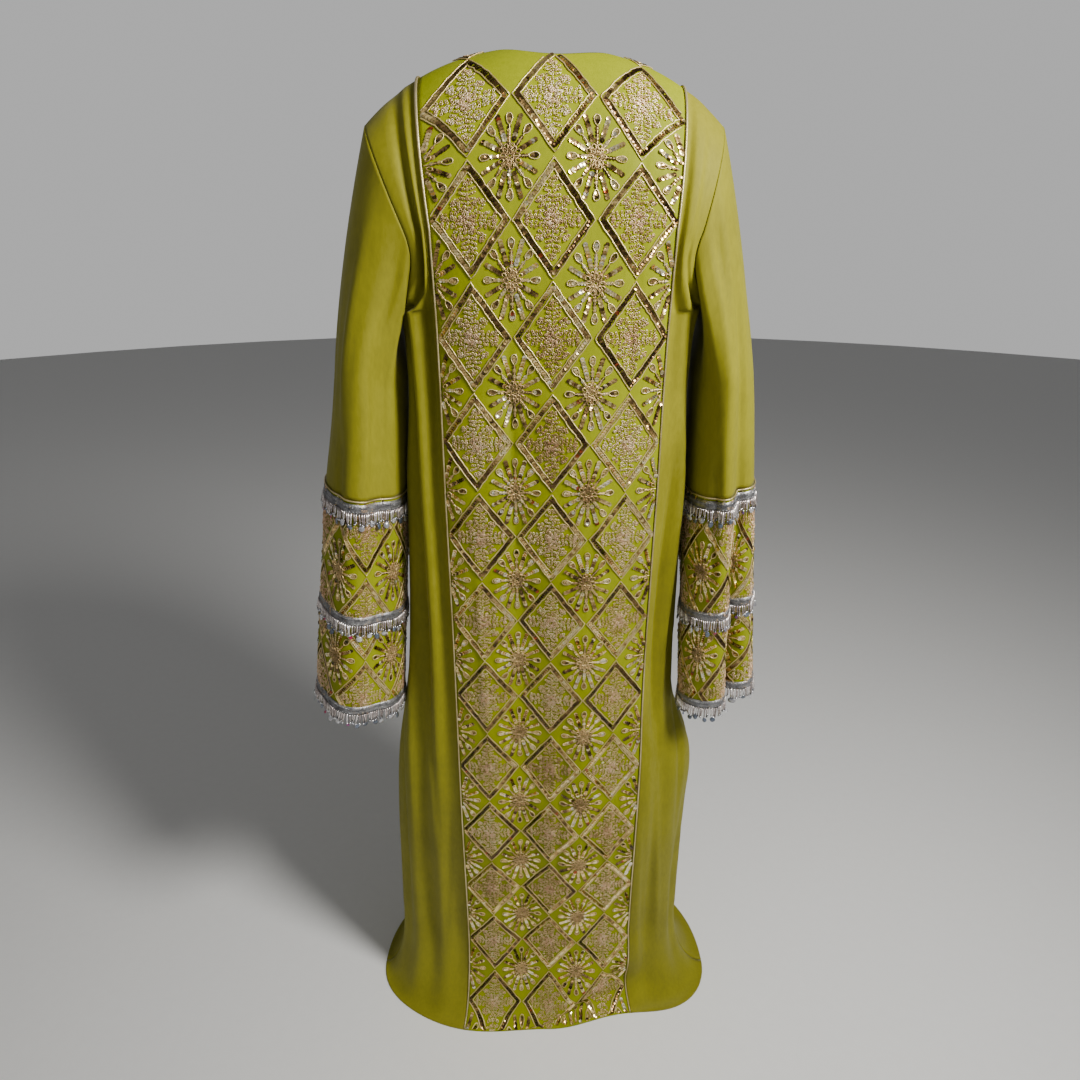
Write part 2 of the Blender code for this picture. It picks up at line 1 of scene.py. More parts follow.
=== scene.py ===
# Long crepe dress with an embroidered back panel and cuffs, seen from behind, hollow and filled out as worn.
import math
from collections import namedtuple

import bmesh
import bpy
import numpy as np
from mathutils import Matrix, Vector


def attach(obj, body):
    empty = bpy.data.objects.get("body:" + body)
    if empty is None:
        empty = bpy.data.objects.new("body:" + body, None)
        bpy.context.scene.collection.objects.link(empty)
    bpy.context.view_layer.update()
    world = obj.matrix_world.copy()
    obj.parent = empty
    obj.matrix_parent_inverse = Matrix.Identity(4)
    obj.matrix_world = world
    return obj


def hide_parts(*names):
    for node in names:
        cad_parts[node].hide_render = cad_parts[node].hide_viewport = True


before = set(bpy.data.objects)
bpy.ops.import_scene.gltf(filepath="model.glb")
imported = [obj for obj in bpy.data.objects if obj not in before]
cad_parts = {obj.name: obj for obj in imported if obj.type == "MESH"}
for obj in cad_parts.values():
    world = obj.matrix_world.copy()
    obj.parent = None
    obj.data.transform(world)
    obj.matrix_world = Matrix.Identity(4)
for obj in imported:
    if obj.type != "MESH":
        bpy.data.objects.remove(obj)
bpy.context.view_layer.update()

# The plain body cloth: two side backs and a one-piece front, cut from medium crepe and sewn at the
# panel, the sides and the shoulders. It hangs in lengthwise folds and spreads where it meets the floor.

LEFT = -1
RIGHT = 1
SIDES = {"left": LEFT, "right": RIGHT}
CLOTH = 0.0013
SEAM_GAP = 0.0003
LAID_GAP = 0.0004
FLOOR_Z = -1.42
BREAK_Z = -1.25
HEM_Z = FLOOR_Z + CLOTH + 0.0002
UNDERARM_Z = -0.245
BLADE_Z = -0.16
SEAM_Y = -0.012
PANEL_HALF = 0.136
NECK_HALF = 0.074
BACK_NECK_RISE = 0.77
FRONT_NECK_RISE = 0.30
RIDGE_Z = 0.0262
RIDGE_FALL = 1.3
RIDGE_CURL = 14.0
RIDGE_SHIFT = -0.011
ARMHOLE_X = 0.165
TIP_SPREAD = {LEFT: 0.047, RIGHT: 0.026}

Section = namedtuple("Section", "z left right back front square")
SECTIONS = [
    Section(-1.27, 0.256, 0.222, -0.090, 0.150, 2.3),
    Section(-1.16, 0.252, 0.218, -0.094, 0.146, 2.3),
    Section(-1.03, 0.247, 0.222, -0.102, 0.140, 2.3),
    Section(-0.90, 0.236, 0.219, -0.101, 0.134, 2.4),
    Section(-0.82, 0.222, 0.189, -0.101, 0.130, 2.4),
    Section(-0.73, 0.207, 0.178, -0.102, 0.126, 2.4),
    Section(-0.60, 0.197, 0.176, -0.105, 0.122, 2.5),
    Section(-0.46, 0.190, 0.177, -0.110, 0.118, 2.6),
    Section(-0.32, 0.180, 0.173, -0.110, 0.116, 2.7),
    Section(-0.245, 0.187, 0.182, -0.110, 0.112, 2.7),
    Section(-0.20, 0.207, 0.203, -0.110, 0.108, 2.6),
    Section(-0.16, 0.235, 0.232, -0.109, 0.105, 2.6),
]

Fold = namedtuple("Fold", "share hem knee hip waist underarm blade")
FOLD_HEIGHTS = (-1.27, -1.03, -0.75, -0.46, -0.25, -0.16)
BACK_FOLDS = {
    LEFT: [
        Fold(0.00, 0.000, 0.000, 0.000, 0.000, 0.000, 0.000),
        Fold(0.13, -0.005, -0.003, -0.004, -0.007, -0.007, -0.003),
        Fold(0.29, 0.004, 0.004, 0.005, 0.008, 0.007, 0.003),
        Fold(0.46, -0.008, -0.005, -0.006, -0.008, -0.007, -0.003),
        Fold(0.62, 0.006, 0.004, 0.004, 0.004, 0.002, 0.000),
        Fold(0.80, -0.005, -0.002, 0.003, 0.003, 0.000, 0.000),
        Fold(0.92, 0.003, 0.002, 0.000, 0.000, 0.000, 0.000),
        Fold(1.00, 0.000, 0.000, 0.000, 0.000, 0.000, 0.000),
    ],
    RIGHT: [
        Fold(0.00, 0.000, 0.000, 0.000, 0.000, 0.000, 0.000),
        Fold(0.13, 0.005, 0.004, -0.003, -0.004, -0.004, -0.002),
        Fold(0.29, -0.006, -0.004, -0.009, -0.005, 0.004, 0.003),
        Fold(0.46, 0.003, 0.002, -0.004, 0.007, 0.004, 0.002),
        Fold(0.62, 0.006, 0.003, 0.000, -0.002, -0.005, -0.002),
        Fold(0.80, -0.006, -0.003, 0.006, 0.002, 0.000, 0.000),
        Fold(0.92, 0.003, 0.002, 0.000, 0.000, 0.000, 0.000),
        Fold(1.00, 0.000, 0.000, 0.000, 0.000, 0.000, 0.000),
    ],
}
FRONT_FOLDS = {
    LEFT: [
        Fold(0.00, 0.004, 0.003, 0.002, 0.001, 0.000, 0.000),
        Fold(0.16, -0.004, -0.003, -0.002, -0.001, 0.000, 0.000),
        Fold(0.26, 0.003, 0.003, 0.002, 0.001, 0.000, 0.000),
        Fold(0.32, 0.006, 0.005, 0.004, 0.002, 0.000, 0.000),
        Fold(0.52, -0.008, -0.007, -0.005, -0.003, -0.001, 0.000),
        Fold(0.70, 0.008, 0.006, 0.005, 0.004, 0.002, 0.000),
        Fold(0.86, -0.006, -0.005, -0.004, -0.004, -0.002, 0.000),
        Fold(1.00, 0.000, 0.000, 0.000, 0.000, 0.000, 0.000),
    ],
    RIGHT: [
        Fold(0.00, 0.004, 0.003, 0.002, 0.001, 0.000, 0.000),
        Fold(0.16, 0.005, 0.003, 0.001, 0.000, 0.000, 0.000),
        Fold(0.26, 0.000, 0.000, 0.000, 0.000, 0.000, 0.000),
        Fold(0.32, -0.004, -0.004, -0.003, -0.001, 0.000, 0.000),
        Fold(0.52, 0.006, 0.005, 0.005, 0.003, 0.001, 0.000),
        Fold(0.70, -0.007, -0.006, -0.005, -0.004, -0.002, 0.000),
        Fold(0.86, 0.005, 0.004, 0.003, 0.002, 0.001, 0.000),
        Fold(1.00, 0.000, 0.000, 0.000, 0.000, 0.000, 0.000),
    ],
}

# How far the hem spreads on the floor, and the break where the panel doubles under at its right
SPREAD_CENTRE = {"back": 0.050, "front": 0.056}
SPREAD_SIDE = {LEFT: 0.047, RIGHT: 0.066}
SPREAD_CORNER = {("back", LEFT): 0.012, ("back", RIGHT): -0.024, ("front", LEFT): 0.006, ("front", RIGHT): 0.010}
POOL_BULGE = 0.010
POOL_TUCK = 0.016
POOL_START = 0.26
POOL_SLOPE = 4.4
POOL_REACH = 0.113
POOL_WIDTH = 0.20
POOL_END = 0.20
POOL_FADE = 0.09
POOL_TUCK_BELOW = 0.30
POOL_EASE = 0.12

# Fine creases: soft lines pressed into the cloth, by their distance round from the centre line and height
Crease = namedtuple("Crease", "across z to_across to_z width depth")
BACK_CREASES = {
    LEFT: [
        Crease(-0.149, -0.06, -0.153, -0.46, 0.0048, -0.0066),
        Crease(-0.166, -0.08, -0.172, -0.44, 0.0052, 0.0046),
        Crease(-0.184, -0.18, -0.186, -0.48, 0.0050, -0.0058),
        Crease(-0.160, -0.52, -0.168, -0.90, 0.0055, 0.0042),
        Crease(-0.186, -0.56, -0.176, -1.06, 0.0050, -0.0050),
        Crease(-0.212, -0.64, -0.222, -1.12, 0.0060, 0.0044),
        Crease(-0.240, -0.84, -0.250, -1.26, 0.0055, -0.0048),
        Crease(-0.158, -1.00, -0.180, -1.32, 0.0055, -0.0044),
    ],
    RIGHT: [
        Crease(0.152, -0.06, 0.156, -0.30, 0.0050, 0.0036),
        Crease(0.172, -0.08, 0.178, -0.40, 0.0045, -0.0046),
        Crease(0.192, -0.18, 0.188, -0.42, 0.0050, 0.0040),
        Crease(0.168, -0.40, 0.160, -0.86, 0.0050, -0.0064),
        Crease(0.182, -0.44, 0.176, -0.90, 0.0050, 0.0048),
        Crease(0.205, -0.70, 0.214, -1.10, 0.0055, -0.0050),
        Crease(0.168, -0.92, 0.190, -1.29, 0.0055, 0.0046),
        Crease(0.232, -0.90, 0.244, -1.26, 0.0055, 0.0042),
        Crease(0.150, -0.98, 0.160, -1.32, 0.0050, -0.0040),
    ],
}
FRONT_CREASES = [
    Crease(-0.030, -0.14, -0.046, -0.42, 0.0070, -0.0038),
    Crease(0.050, -0.12, 0.070, -0.40, 0.0070, 0.0038),
    Crease(-0.110, -0.18, -0.090, -0.46, 0.0060, 0.0035),
    Crease(0.130, -0.20, 0.118, -0.52, 0.0060, -0.0042),
    Crease(-0.160, -0.30, -0.172, -0.66, 0.0060, -0.0042),
    Crease(0.176, -0.34, 0.190, -0.70, 0.0065, 0.0038),
    Crease(-0.020, -0.62, 0.006, -1.00, 0.0080, 0.0042),
    Crease(0.052, -0.66, 0.040, -1.08, 0.0070, -0.0045),
    Crease(-0.080, -0.72, -0.098, -1.16, 0.0070, -0.0042),
    Crease(0.118, -0.78, 0.140, -1.20, 0.0070, 0.0045),
    Crease(-0.150, -0.84, -0.140, -1.26, 0.0065, 0.0042),
    Crease(0.216, -0.86, 0.200, -1.26, 0.0065, -0.0045),
    Crease(-0.222, -0.80, -0.240, -1.22, 0.0070, -0.0042),
]
CREASE_EDGE = 0.010


def curve_through(places, values, at):
    """Smooth curve through a few points, in order of rising place, held level past its ends."""
    places, values = np.asarray(places, float), np.asarray(values, float)
    at = np.clip(at, places[0], places[-1])
    k = np.clip(np.searchsorted(places, at, side="right") - 1, 0, len(places) - 2)
    slopes = np.gradient(values, places)
    step = places[k + 1] - places[k]
    t = (at - places[k]) / step
    start = (2 * t**3 - 3 * t**2 + 1) * values[k] + (t**3 - 2 * t**2 + t) * step * slopes[k]
    return start + (-2 * t**3 + 3 * t**2) * values[k + 1] + (t**3 - t**2) * step * slopes[k + 1]


def read(table, column, at):
    return curve_through([row.z for row in table], [getattr(row, column) for row in table], at)


def unit(vectors):
    return vectors / np.linalg.norm(vectors, axis=-1, keepdims=True)


QUARTERS = {}


def quarter(face, side, z):
    """Distances along a quarter of the body's squarish oval from its centre line, and its points."""
    key = (face, side, round(float(z), 6))
    if key not in QUARTERS:
        half = read(SECTIONS, "left" if side == LEFT else "right", z)
        depth = read(SECTIONS, face, z) - SEAM_Y
        power = 2 / read(SECTIONS, "square", z)
        angle = np.linspace(0, math.pi / 2, 121)
        x = side * half * np.sin(angle) ** power
        y = SEAM_Y + depth * np.maximum(np.cos(angle), 0) ** power
        steps = np.hypot(np.diff(x), np.diff(y))
        QUARTERS[key] = (np.concatenate([[0], np.cumsum(steps)]), x, y)
    return QUARTERS[key]


def edge_reach(face, side, z):
    """Distance from the centre line to the side seam, or to the armhole above the underarm."""
    lengths = quarter(face, side, z)[0]
    if z <= UNDERARM_Z:
        return lengths[-1]
    at_blade, x, _ = quarter(face, side, BLADE_Z)
    share = np.interp(ARMHOLE_X, np.abs(x), at_blade) / at_blade[-1]
    fall = min(max((BLADE_Z - z) / (BLADE_Z - UNDERARM_Z), 0), 1)
    return lengths[-1] * (share + (1 - share) * (1 - math.sqrt(1 - fall * fall)))


def height_of(row):
    """Height of a row: 0 to 1 is the shoulder, 1 to 2 the armhole, 2 to 3 the trunk, 3 to 4 the hem."""
    if row <= 1:
        return BLADE_Z
    if row <= 2:
        return BLADE_Z - (BLADE_Z - UNDERARM_Z) * math.sin((row - 1) * math.pi / 2)
    if row <= 3:
        return UNDERARM_Z + (BREAK_Z - UNDERARM_Z) * (row - 2)
    return BREAK_Z - (BREAK_Z - HEM_Z) * math.sin((row - 3) * math.pi / 2)


def form_points(face, side, reach, row):
    """Points of the body form; on the shoulder each column may have a row of its own."""
    reach = np.asarray(reach, float)
    top = float(np.min(row))
    if top < 1:
        rise = 1 - np.minimum(row, 1)
        lengths, x, y = quarter(face, side, BLADE_Z)
        x0, y0 = np.interp(reach, lengths, x), np.interp(reach, lengths, y)
        x = x0 + side * TIP_SPREAD[side] * (1 - (1 - rise) ** 2) * (np.abs(x0) / ARMHOLE_X) ** 6
        y = SEAM_Y + (y0 - SEAM_Y) * np.cos(rise * math.pi / 2)
        aside = (x - RIDGE_SHIFT) ** 2
        ridge = RIDGE_Z - RIDGE_FALL * aside - RIDGE_CURL * aside**2
        z = BLADE_Z + (ridge - BLADE_Z) * np.sin(rise * math.pi / 2)
        return np.stack([x, y, z], axis=-1)
    if top <= 3:
        z = height_of(top)
        lengths, x, y = quarter(face, side, z)
        return np.stack([np.interp(reach, lengths, x), np.interp(reach, lengths, y), np.full(reach.shape, z)], axis=-1)
    fall = top - 3
    lengths, x, y = quarter(face, side, BREAK_Z)
    low, high = np.maximum(reach - 0.002, 0), np.minimum(reach + 0.002, lengths[-1])
    run = np.abs(np.interp(high, lengths, x) - np.interp(low, lengths, x))
    rise = np.abs(np.interp(high, lengths, y) - np.interp(low, lengths, y))
    away = unit(np.stack([rise * side, run * (-1 if face == "back" else 1)], axis=-1))
    share = reach / lengths[-1]
    ease = share * share * (3 - 2 * share)
    width = SPREAD_CENTRE[face] * (1 - ease) + SPREAD_SIDE[side] * ease
    width = width + SPREAD_CORNER[face, side] * np.sin(share * math.pi) ** 2
    out = width * (1 - math.cos(fall * math.pi / 2)) + pool_fold(face, side * reach, fall)
    x, y = np.interp(reach, lengths, x) + away[..., 0] * out, np.interp(reach, lengths, y) + away[..., 1] * out
    return np.stack([x, y, np.full(reach.shape, height_of(top))], axis=-1)


def pool_fold(face, across, fall):
    """The break at the right of the panel: a bulge that runs down to the left, and a tuck below it."""
    if face == "front":
        return 0.0
    fade = np.clip((POOL_END - across) / POOL_FADE, 0, 1)
    ridge = POOL_START + POOL_SLOPE * np.maximum(POOL_REACH - across, 0)
    bulge = POOL_BULGE * np.exp(-(((fall - ridge) / POOL_WIDTH) ** 2))
    tuck = POOL_TUCK * np.exp(-(((fall - ridge - POOL_TUCK_BELOW) / POOL_WIDTH) ** 2))
    return fade * (bulge - tuck) * min(1, fall / POOL_EASE, (1 - fall) / POOL_EASE)


def form_normals(face, side, reach, row):
    """The form's own outward direction, without folds, so that pieces meet evenly at a seam."""
    top = float(np.min(row))
    limit = quarter(face, side, BREAK_Z if top > 3 else height_of(top))[0][-1]
    low, high = np.maximum(reach - 0.001, 0), np.minimum(reach + 0.001, limit)
    above, below = np.maximum(np.asarray(row) - 0.01, 0), np.minimum(np.asarray(row) + 0.01, 4)
    if top < 1:
        below = np.minimum(below, 0.9999)
    across = form_points(face, side, high, row) - form_points(face, side, low, row)
    down = form_points(face, side, reach, below) - form_points(face, side, reach, above)
    normal = unit(np.cross(across, down))
    point = form_points(face, side, reach, row)
    outward = point - np.array([0, SEAM_Y, 0])
    outward[..., 2] = 0.1
    return normal * np.sign(np.sum(normal * outward, axis=-1, keepdims=True))


def fold_depth(folds, share, row):
    """Depth of the lengthwise folds across a piece, fading out over the shoulder and at the floor."""
    z = height_of(row)
    depths = [float(curve_through(FOLD_HEIGHTS, fold[1:], z)) for fold in folds]
    return curve_through([fold.share for fold in folds], depths, share) * min(row, 1) * (1 - max(row - 3, 0))


def crease_depth(creases, across, z):
    depth = np.zeros(np.broadcast(across, z).shape)
    for crease in creases:
        run, fall = crease.to_across - crease.across, crease.to_z - crease.z
        t = np.clip(((across - crease.across) * run + (z - crease.z) * fall) / (run**2 + fall**2), 0, 1)
        aside = np.hypot(across - crease.across - t * run, z - crease.z - t * fall)
        depth = depth + crease.depth * np.exp(-((aside / crease.width) ** 2)) * np.sin(math.pi * (0.06 + 0.88 * t))
    return depth


def fine_rows(step):
    """Rows close together on every stretch of the body, about as far apart as the step in metres."""
    rows = []
    for start, length in ((0, 0.225), (1, 0.09), (2, 1.005), (3, 0.19)):
        count = round(length / step)
        rows += [start + k / count for k in range(count)]
    return rows + [4.0]


def neck_start(face, reach):
    inset = np.minimum(reach / NECK_HALF, 1)
    if face == "back":
        return (1 - BACK_NECK_RISE) * (1 - inset**2)
    return (1 - FRONT_NECK_RISE) * (1 - inset**2.2)


def body_cloth(face, strips, rows):
    """Outer and inner points of a body piece; each strip is a side, its shares, and its reach and depth."""
    outer, inner = [], []
    for row in rows:
        outer_row, inner_row = [], []
        for side, shares, place in strips:
            reach, start, depth = place(shares, row)
            own_row = start + (1 - start) * row if row < 1 else row
            normal = form_normals(face, side, reach, own_row)
            point = form_points(face, side, reach, own_row) + normal * depth[:, None]
            if row < 0.001:
                point[start < 0.001, 1] += SEAM_GAP / 2 * (-1 if face == "back" else 1)
            outer_row.append(point)
            inner_row.append(point - normal * CLOTH)
        outer.append(np.concatenate(outer_row))
        inner.append(np.concatenate(inner_row))
    return np.array(outer), np.array(inner)


def seam_fade(reach, inside, edge):
    return np.clip(np.minimum(reach - inside, edge - reach) / CREASE_EDGE, 0, 1)


def side_back_place(side):
    def place(shares, row):
        edge = edge_reach("back", side, height_of(row) if row <= 3 else BREAK_Z) - SEAM_GAP / 2
        inside = PANEL_HALF + SEAM_GAP / 2
        reach = inside + shares * (edge - inside)
        fine = crease_depth(BACK_CREASES[side], side * reach, height_of(row)) * seam_fade(reach, inside, edge)
        fine = fine * min(row, 1) * (1 - max(row - 3, 0))
        return reach, np.zeros(len(shares)), fold_depth(BACK_FOLDS[side], shares, row) + fine

    return place


def front_place(side):
    def place(shares, row):
        edge = edge_reach("front", side, height_of(row) if row <= 3 else BREAK_Z) - SEAM_GAP / 2
        reach = shares * edge
        start = np.zeros(len(shares))
        if row < 1:
            neck = [0, 0.45 * NECK_HALF, 0.80 * NECK_HALF, NECK_HALF, 0.52 * edge, edge]
            at_neck = np.interp(shares, [0, 0.16, 0.26, 0.32, 0.52, 1], neck)
            reach = at_neck * (1 - row) + reach * row
            start = neck_start("front", at_neck)
        fine = crease_depth(FRONT_CREASES, side * reach, height_of(row)) * seam_fade(reach, -1, edge)
        fine = fine * min(row, 1) * (1 - max(row - 3, 0))
        return reach, start, fold_depth(FRONT_FOLDS[side], shares, row) + fine

    return place


def cloth_mesh(outer, inner, closed):
    """A thin wall between two layers of rows by columns; a closed one runs round a tube."""
    rows, columns = outer.shape[:2]
    mesh = bmesh.new()
    bmesh.ops.create_grid(mesh, x_segments=columns - 1, y_segments=rows - 1, size=1)
    place = mesh.verts.layers.int.new("place")
    for vert in mesh.verts:
        column = round((vert.co.x + 1) / 2 * (columns - 1))
        row = round((vert.co.y + 1) / 2 * (rows - 1))
        vert[place] = row * columns + column
        vert.co = outer[row, column]
    if closed:
        bmesh.ops.remove_doubles(mesh, verts=mesh.verts, dist=1e-6)
    second = bmesh.ops.extrude_face_region(mesh, geom=mesh.faces[:], use_keep_orig=True)
    for item in second["geom"]:
        if isinstance(item, bmesh.types.BMVert):
            item.co = inner[divmod(item[place], columns)]
    bmesh.ops.recalc_face_normals(mesh, faces=mesh.faces)
    return mesh


def finished(name, mesh, look, slot, *nodes):
    """Puts a piece in the scene with its material, under the root body, with the nodes it stands for hidden; its slot
    is not used.
    """
    if isinstance(mesh, bmesh.types.BMesh):
        data = bpy.data.meshes.new(name)
        mesh.to_mesh(data)
        mesh.free()
    else:
        data = mesh
    data.materials.append(look)
    data.shade_smooth()
    piece = bpy.data.objects.new(name, data)
    bpy.context.scene.collection.objects.link(piece)
    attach(piece, "root")
    if nodes:
        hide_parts(*nodes)
    return piece


class Shade:
    """A socket of a shader, worked with as a number; a sum or a product adds its Math node."""

    def __init__(self, tree, socket=None):
        self.tree = tree
        self.socket = socket

    def add(self, kind, settings=None, values=None, output=0):
        node = self.tree.nodes.new(kind)
        for word, value in (settings or {}).items():
            if word != "stops":
                setattr(node, word, value)
                continue
            while len(node.color_ramp.elements) < len(value):
                node.color_ramp.elements.new(0.5)
            for stop, (position, colour) in zip(node.color_ramp.elements, value):
                stop.position = position
                stop.color = colour
        for place, value in (values or {}).items():
            if isinstance(value, Shade):
                self.tree.links.new(value.socket, node.inputs[place])
            else:
                node.inputs[place].default_value = value
        return Shade(self.tree, node.outputs[output])

    def worked(self, operation, first, second=0.0):
        return self.add("ShaderNodeMath", {"operation": operation}, {0: first, 1: second})

    def __add__(self, other):
        return self.worked("ADD", self, other)

    __radd__ = __add__

    def __mul__(self, other):
        return self.worked("MULTIPLY", self, other)

    __rmul__ = __mul__

    def __sub__(self, other):
        return self.worked("SUBTRACT", self, other)

    def __rsub__(self, other):
        return self.worked("SUBTRACT", other, self)

    def between(self, low, high):
        return self.add("ShaderNodeMapRange", None, {0: self, 1: low, 2: high})

    def noise(self, place, scale, detail=2.0, roughness=0.5):
        values = {"Vector": place, "Scale": scale, "Detail": detail, "Roughness": roughness}
        return self.add("ShaderNodeTexNoise", None, values)

    def mixed(self, share, first, second):
        values = {0: share, 6: first, 7: second}
        return self.add("ShaderNodeMix", {"data_type": "RGBA"}, values, output=2)

    def bump(self, height, strength, distance):
        return self.add("ShaderNodeBump", None, {"Height": height, "Strength": strength, "Distance": distance})


def finish_of(name, base, **fixed):
    """A new material, its Principled shader and the starting point for its nodes."""
    made = bpy.data.materials.new(name)
    made.use_nodes = True
    shader = made.node_tree.nodes["Principled BSDF"]
    shader.inputs["Base Color"].default_value = base
    for word, value in fixed.items():
        shader.inputs[word.replace("_", " ")].default_value = value
    return made, shader, Shade(made.node_tree)


def feed(start, shader, **inputs):
    for word, value in inputs.items():
        start.tree.links.new(value.socket, shader.inputs[word.replace("_", " ")])


def crepe(name, dark, light, weave_scale, sheen):
    """Crepe: a fine pebbled weave with a soft sheen, a little lighter where it has been rubbed and pressed."""
    made, shader, start = finish_of(
        name, light, Roughness=0.62, Sheen_Weight=sheen, Sheen_Roughness=0.45, Specular_IOR_Level=0.14
    )
    place = start.add("ShaderNodeTexCoord", output=3)
    stretched = start.add("ShaderNodeMapping", None, {"Vector": place, "Scale": (1.0, 1.0, 0.35)})
    cloudy = start.noise(place, 9.0, 3.0, 0.6)
    slubs = start.noise(stretched, 260.0, 2.0, 0.5)
    pebble = start.noise(place, weave_scale, 2.0, 0.6)
    tone = (cloudy * 0.55 + slubs * 0.3 + pebble * 0.3).between(0.32, 0.82)
    feed(start, shader, Base_Color=start.mixed(tone, dark, light))
    feed(start, shader, Roughness=pebble.between(0.2, 0.8) * 0.16 + 0.54)
    feed(start, shader, Normal=start.bump(pebble * 0.7 + slubs * 0.3, 0.4, 0.0006))
    return made


CREPE = crepe("crepe", (0.155, 0.143, 0.008, 1), (0.265, 0.248, 0.016, 1), 1500.0, 0.04)

rows = fine_rows(0.0055)
for word, side in SIDES.items():
    shares = np.linspace(0, 1, 33)
    outer, inner = body_cloth("back", [(side, shares, side_back_place(side))], rows)
    piece = finished(f"cloth_back_{word}", cloth_mesh(outer, inner, False), CREPE, "crepe", f"back_{word}")

shares = np.linspace(0, 1, 42)
rows = fine_rows(0.0085)
strips = [(LEFT, shares[::-1], front_place(LEFT)), (RIGHT, shares[1:], front_place(RIGHT))]
outer, inner = body_cloth("front", strips, rows)
piece = finished("cloth_front", cloth_mesh(outer, inner, False), CREPE, "crepe", "front")

# The embroidered back panel: one length of brighter crepe from the neck to the floor, worked all over
# before it was sewn in. Its threads and sequins are laid on it by distance across and distance down.

PANEL_FOLDS = [
    Fold(-1.00, 0.000, 0.000, 0.000, 0.000, 0.000, 0.000),
    Fold(-0.78, 0.002, 0.001, 0.001, 0.001, 0.000, 0.000),
    Fold(-0.56, 0.002, 0.000, -0.001, -0.001, 0.000, 0.000),
    Fold(-0.30, -0.005, -0.007, -0.008, -0.006, -0.002, 0.000),
    Fold(0.00, 0.000, -0.001, -0.002, -0.001, 0.000, 0.000),
    Fold(0.30, 0.004, 0.004, 0.003, 0.002, 0.001, 0.000),
    Fold(0.56, 0.000, 0.000, 0.001, 0.000, 0.000, 0.000),
    Fold(0.78, -0.003, -0.003, -0.002, 0.000, 0.000, 0.000),
    Fold(1.00, 0.000, 0.000, 0.000, 0.000, 0.000, 0.000),
]
PANEL_CREASES = [
    Crease(-0.052, -0.26, -0.046, -0.62, 0.0050, -0.0025),
    Crease(0.058, -0.40, 0.066, -0.74, 0.0050, 0.0022),
    Crease(0.096, -0.10, 0.090, -0.36, 0.0050, -0.0020),
    Crease(-0.098, -0.52, -0.090, -0.90, 0.0050, 0.0022),
    Crease(0.020, -0.80, 0.010, -1.16, 0.0060, -0.0025),
    Crease(0.090, -0.92, 0.098, -1.24, 0.0055, 0.0028),
    Crease(-0.070, -0.98, -0.082, -1.26, 0.0055, -0.0028),
]


def panel_place(neck):
    def place(shares, row):
        reach = np.abs(shares) * (PANEL_HALF - SEAM_GAP / 2)
        start = neck_start("back", reach) if neck else np.zeros(len(shares))
        fine = crease_depth(PANEL_CREASES, shares * PANEL_HALF, height_of(row))
        fine = fine * seam_fade(reach, -1, PANEL_HALF) * min(row, 1) * (1 - max(row - 3, 0))
        return reach, start, fold_depth(PANEL_FOLDS, shares, row) + fine

    return place


class Ground:
    """Places on a cloth by distance across and distance down it, read from its outer points."""

    def __init__(self, points, across, down, outward):
        self.points = points
        self.across = across
        self.down = down
        normal = unit(np.cross(np.gradient(points, axis=1), np.gradient(points, axis=0)))
        self.normal = normal * np.sign(np.sum(normal * outward))

    def between(self, at, places):
        """Where a distance falls among the grid's own distances, carried on past the ends."""
        past = np.maximum(at - places[-1], 0) / (places[-1] - places[-2])
        short = np.maximum(places[0] - at, 0) / (places[1] - places[0])
        return np.interp(at, places, np.arange(len(places))) + past - short

    def laid(self, flat):
        """Flat places of across, down and height above the cloth, brought onto it."""
        across, down, lift = flat[..., 0], flat[..., 1], flat[..., 2]
        column, row = self.between(across, self.across), self.between(down, self.down)
        i = np.clip(row.astype(int), 0, len(self.down) - 2)
        j = np.clip(column.astype(int), 0, len(self.across) - 2)
        s, t = (row - i)[..., None], (column - j)[..., None]

        def blended(grid):
            upper = grid[i, j] * (1 - t) + grid[i, j + 1] * t
            return upper * (1 - s) + (grid[i + 1, j] * (1 - t) + grid[i + 1, j + 1] * t) * s

        return blended(self.points) + unit(blended(self.normal)) * lift[..., None]


LIME_CREPE = crepe("lime_crepe", (0.165, 0.195, 0.0015, 1), (0.285, 0.312, 0.0025, 1), 1300.0, 0.01)

rows = fine_rows(0.0045)
left, right = np.linspace(-1, 0, 31), np.linspace(0, 1, 31)
strips = [(LEFT, left, panel_place(True)), (RIGHT, right[1:], panel_place(True))]
outer, inner = body_cloth("back", strips, rows)
panel = finished("cloth_back_panel", cloth_mesh(outer, inner, False), LIME_CREPE, "embroidered_crepe", "back_panel")

strips = [(LEFT, left, panel_place(False)), (RIGHT, right[1:], panel_place(False))]
points, _ = body_cloth("back", strips, rows)
centre = points[:, len(left) - 1]
down = np.concatenate([[0], np.cumsum(np.linalg.norm(np.diff(centre, axis=0), axis=1))])
panel_across = np.concatenate([left, right[1:]]) * PANEL_HALF
PANEL_GROUND = Ground(points, panel_across, down, np.array([0, -1, 0]))
PANEL_LENGTH = down[-1]
PANEL_ROWS = rows


def down_at_height(z):
    return float(np.interp(-z, -PANEL_GROUND.points[:, len(left) - 1, 2], PANEL_GROUND.down))


def neck_down(across):
    return np.interp(neck_start("back", np.abs(across)), PANEL_ROWS, PANEL_GROUND.down)


# Sleeves and cuffs: plain long sleeves of the same crepe, each eased into its armhole, and a deep
# embroidered cuff sewn to its lower end. They hang as tubes with a few lengthwise folds.

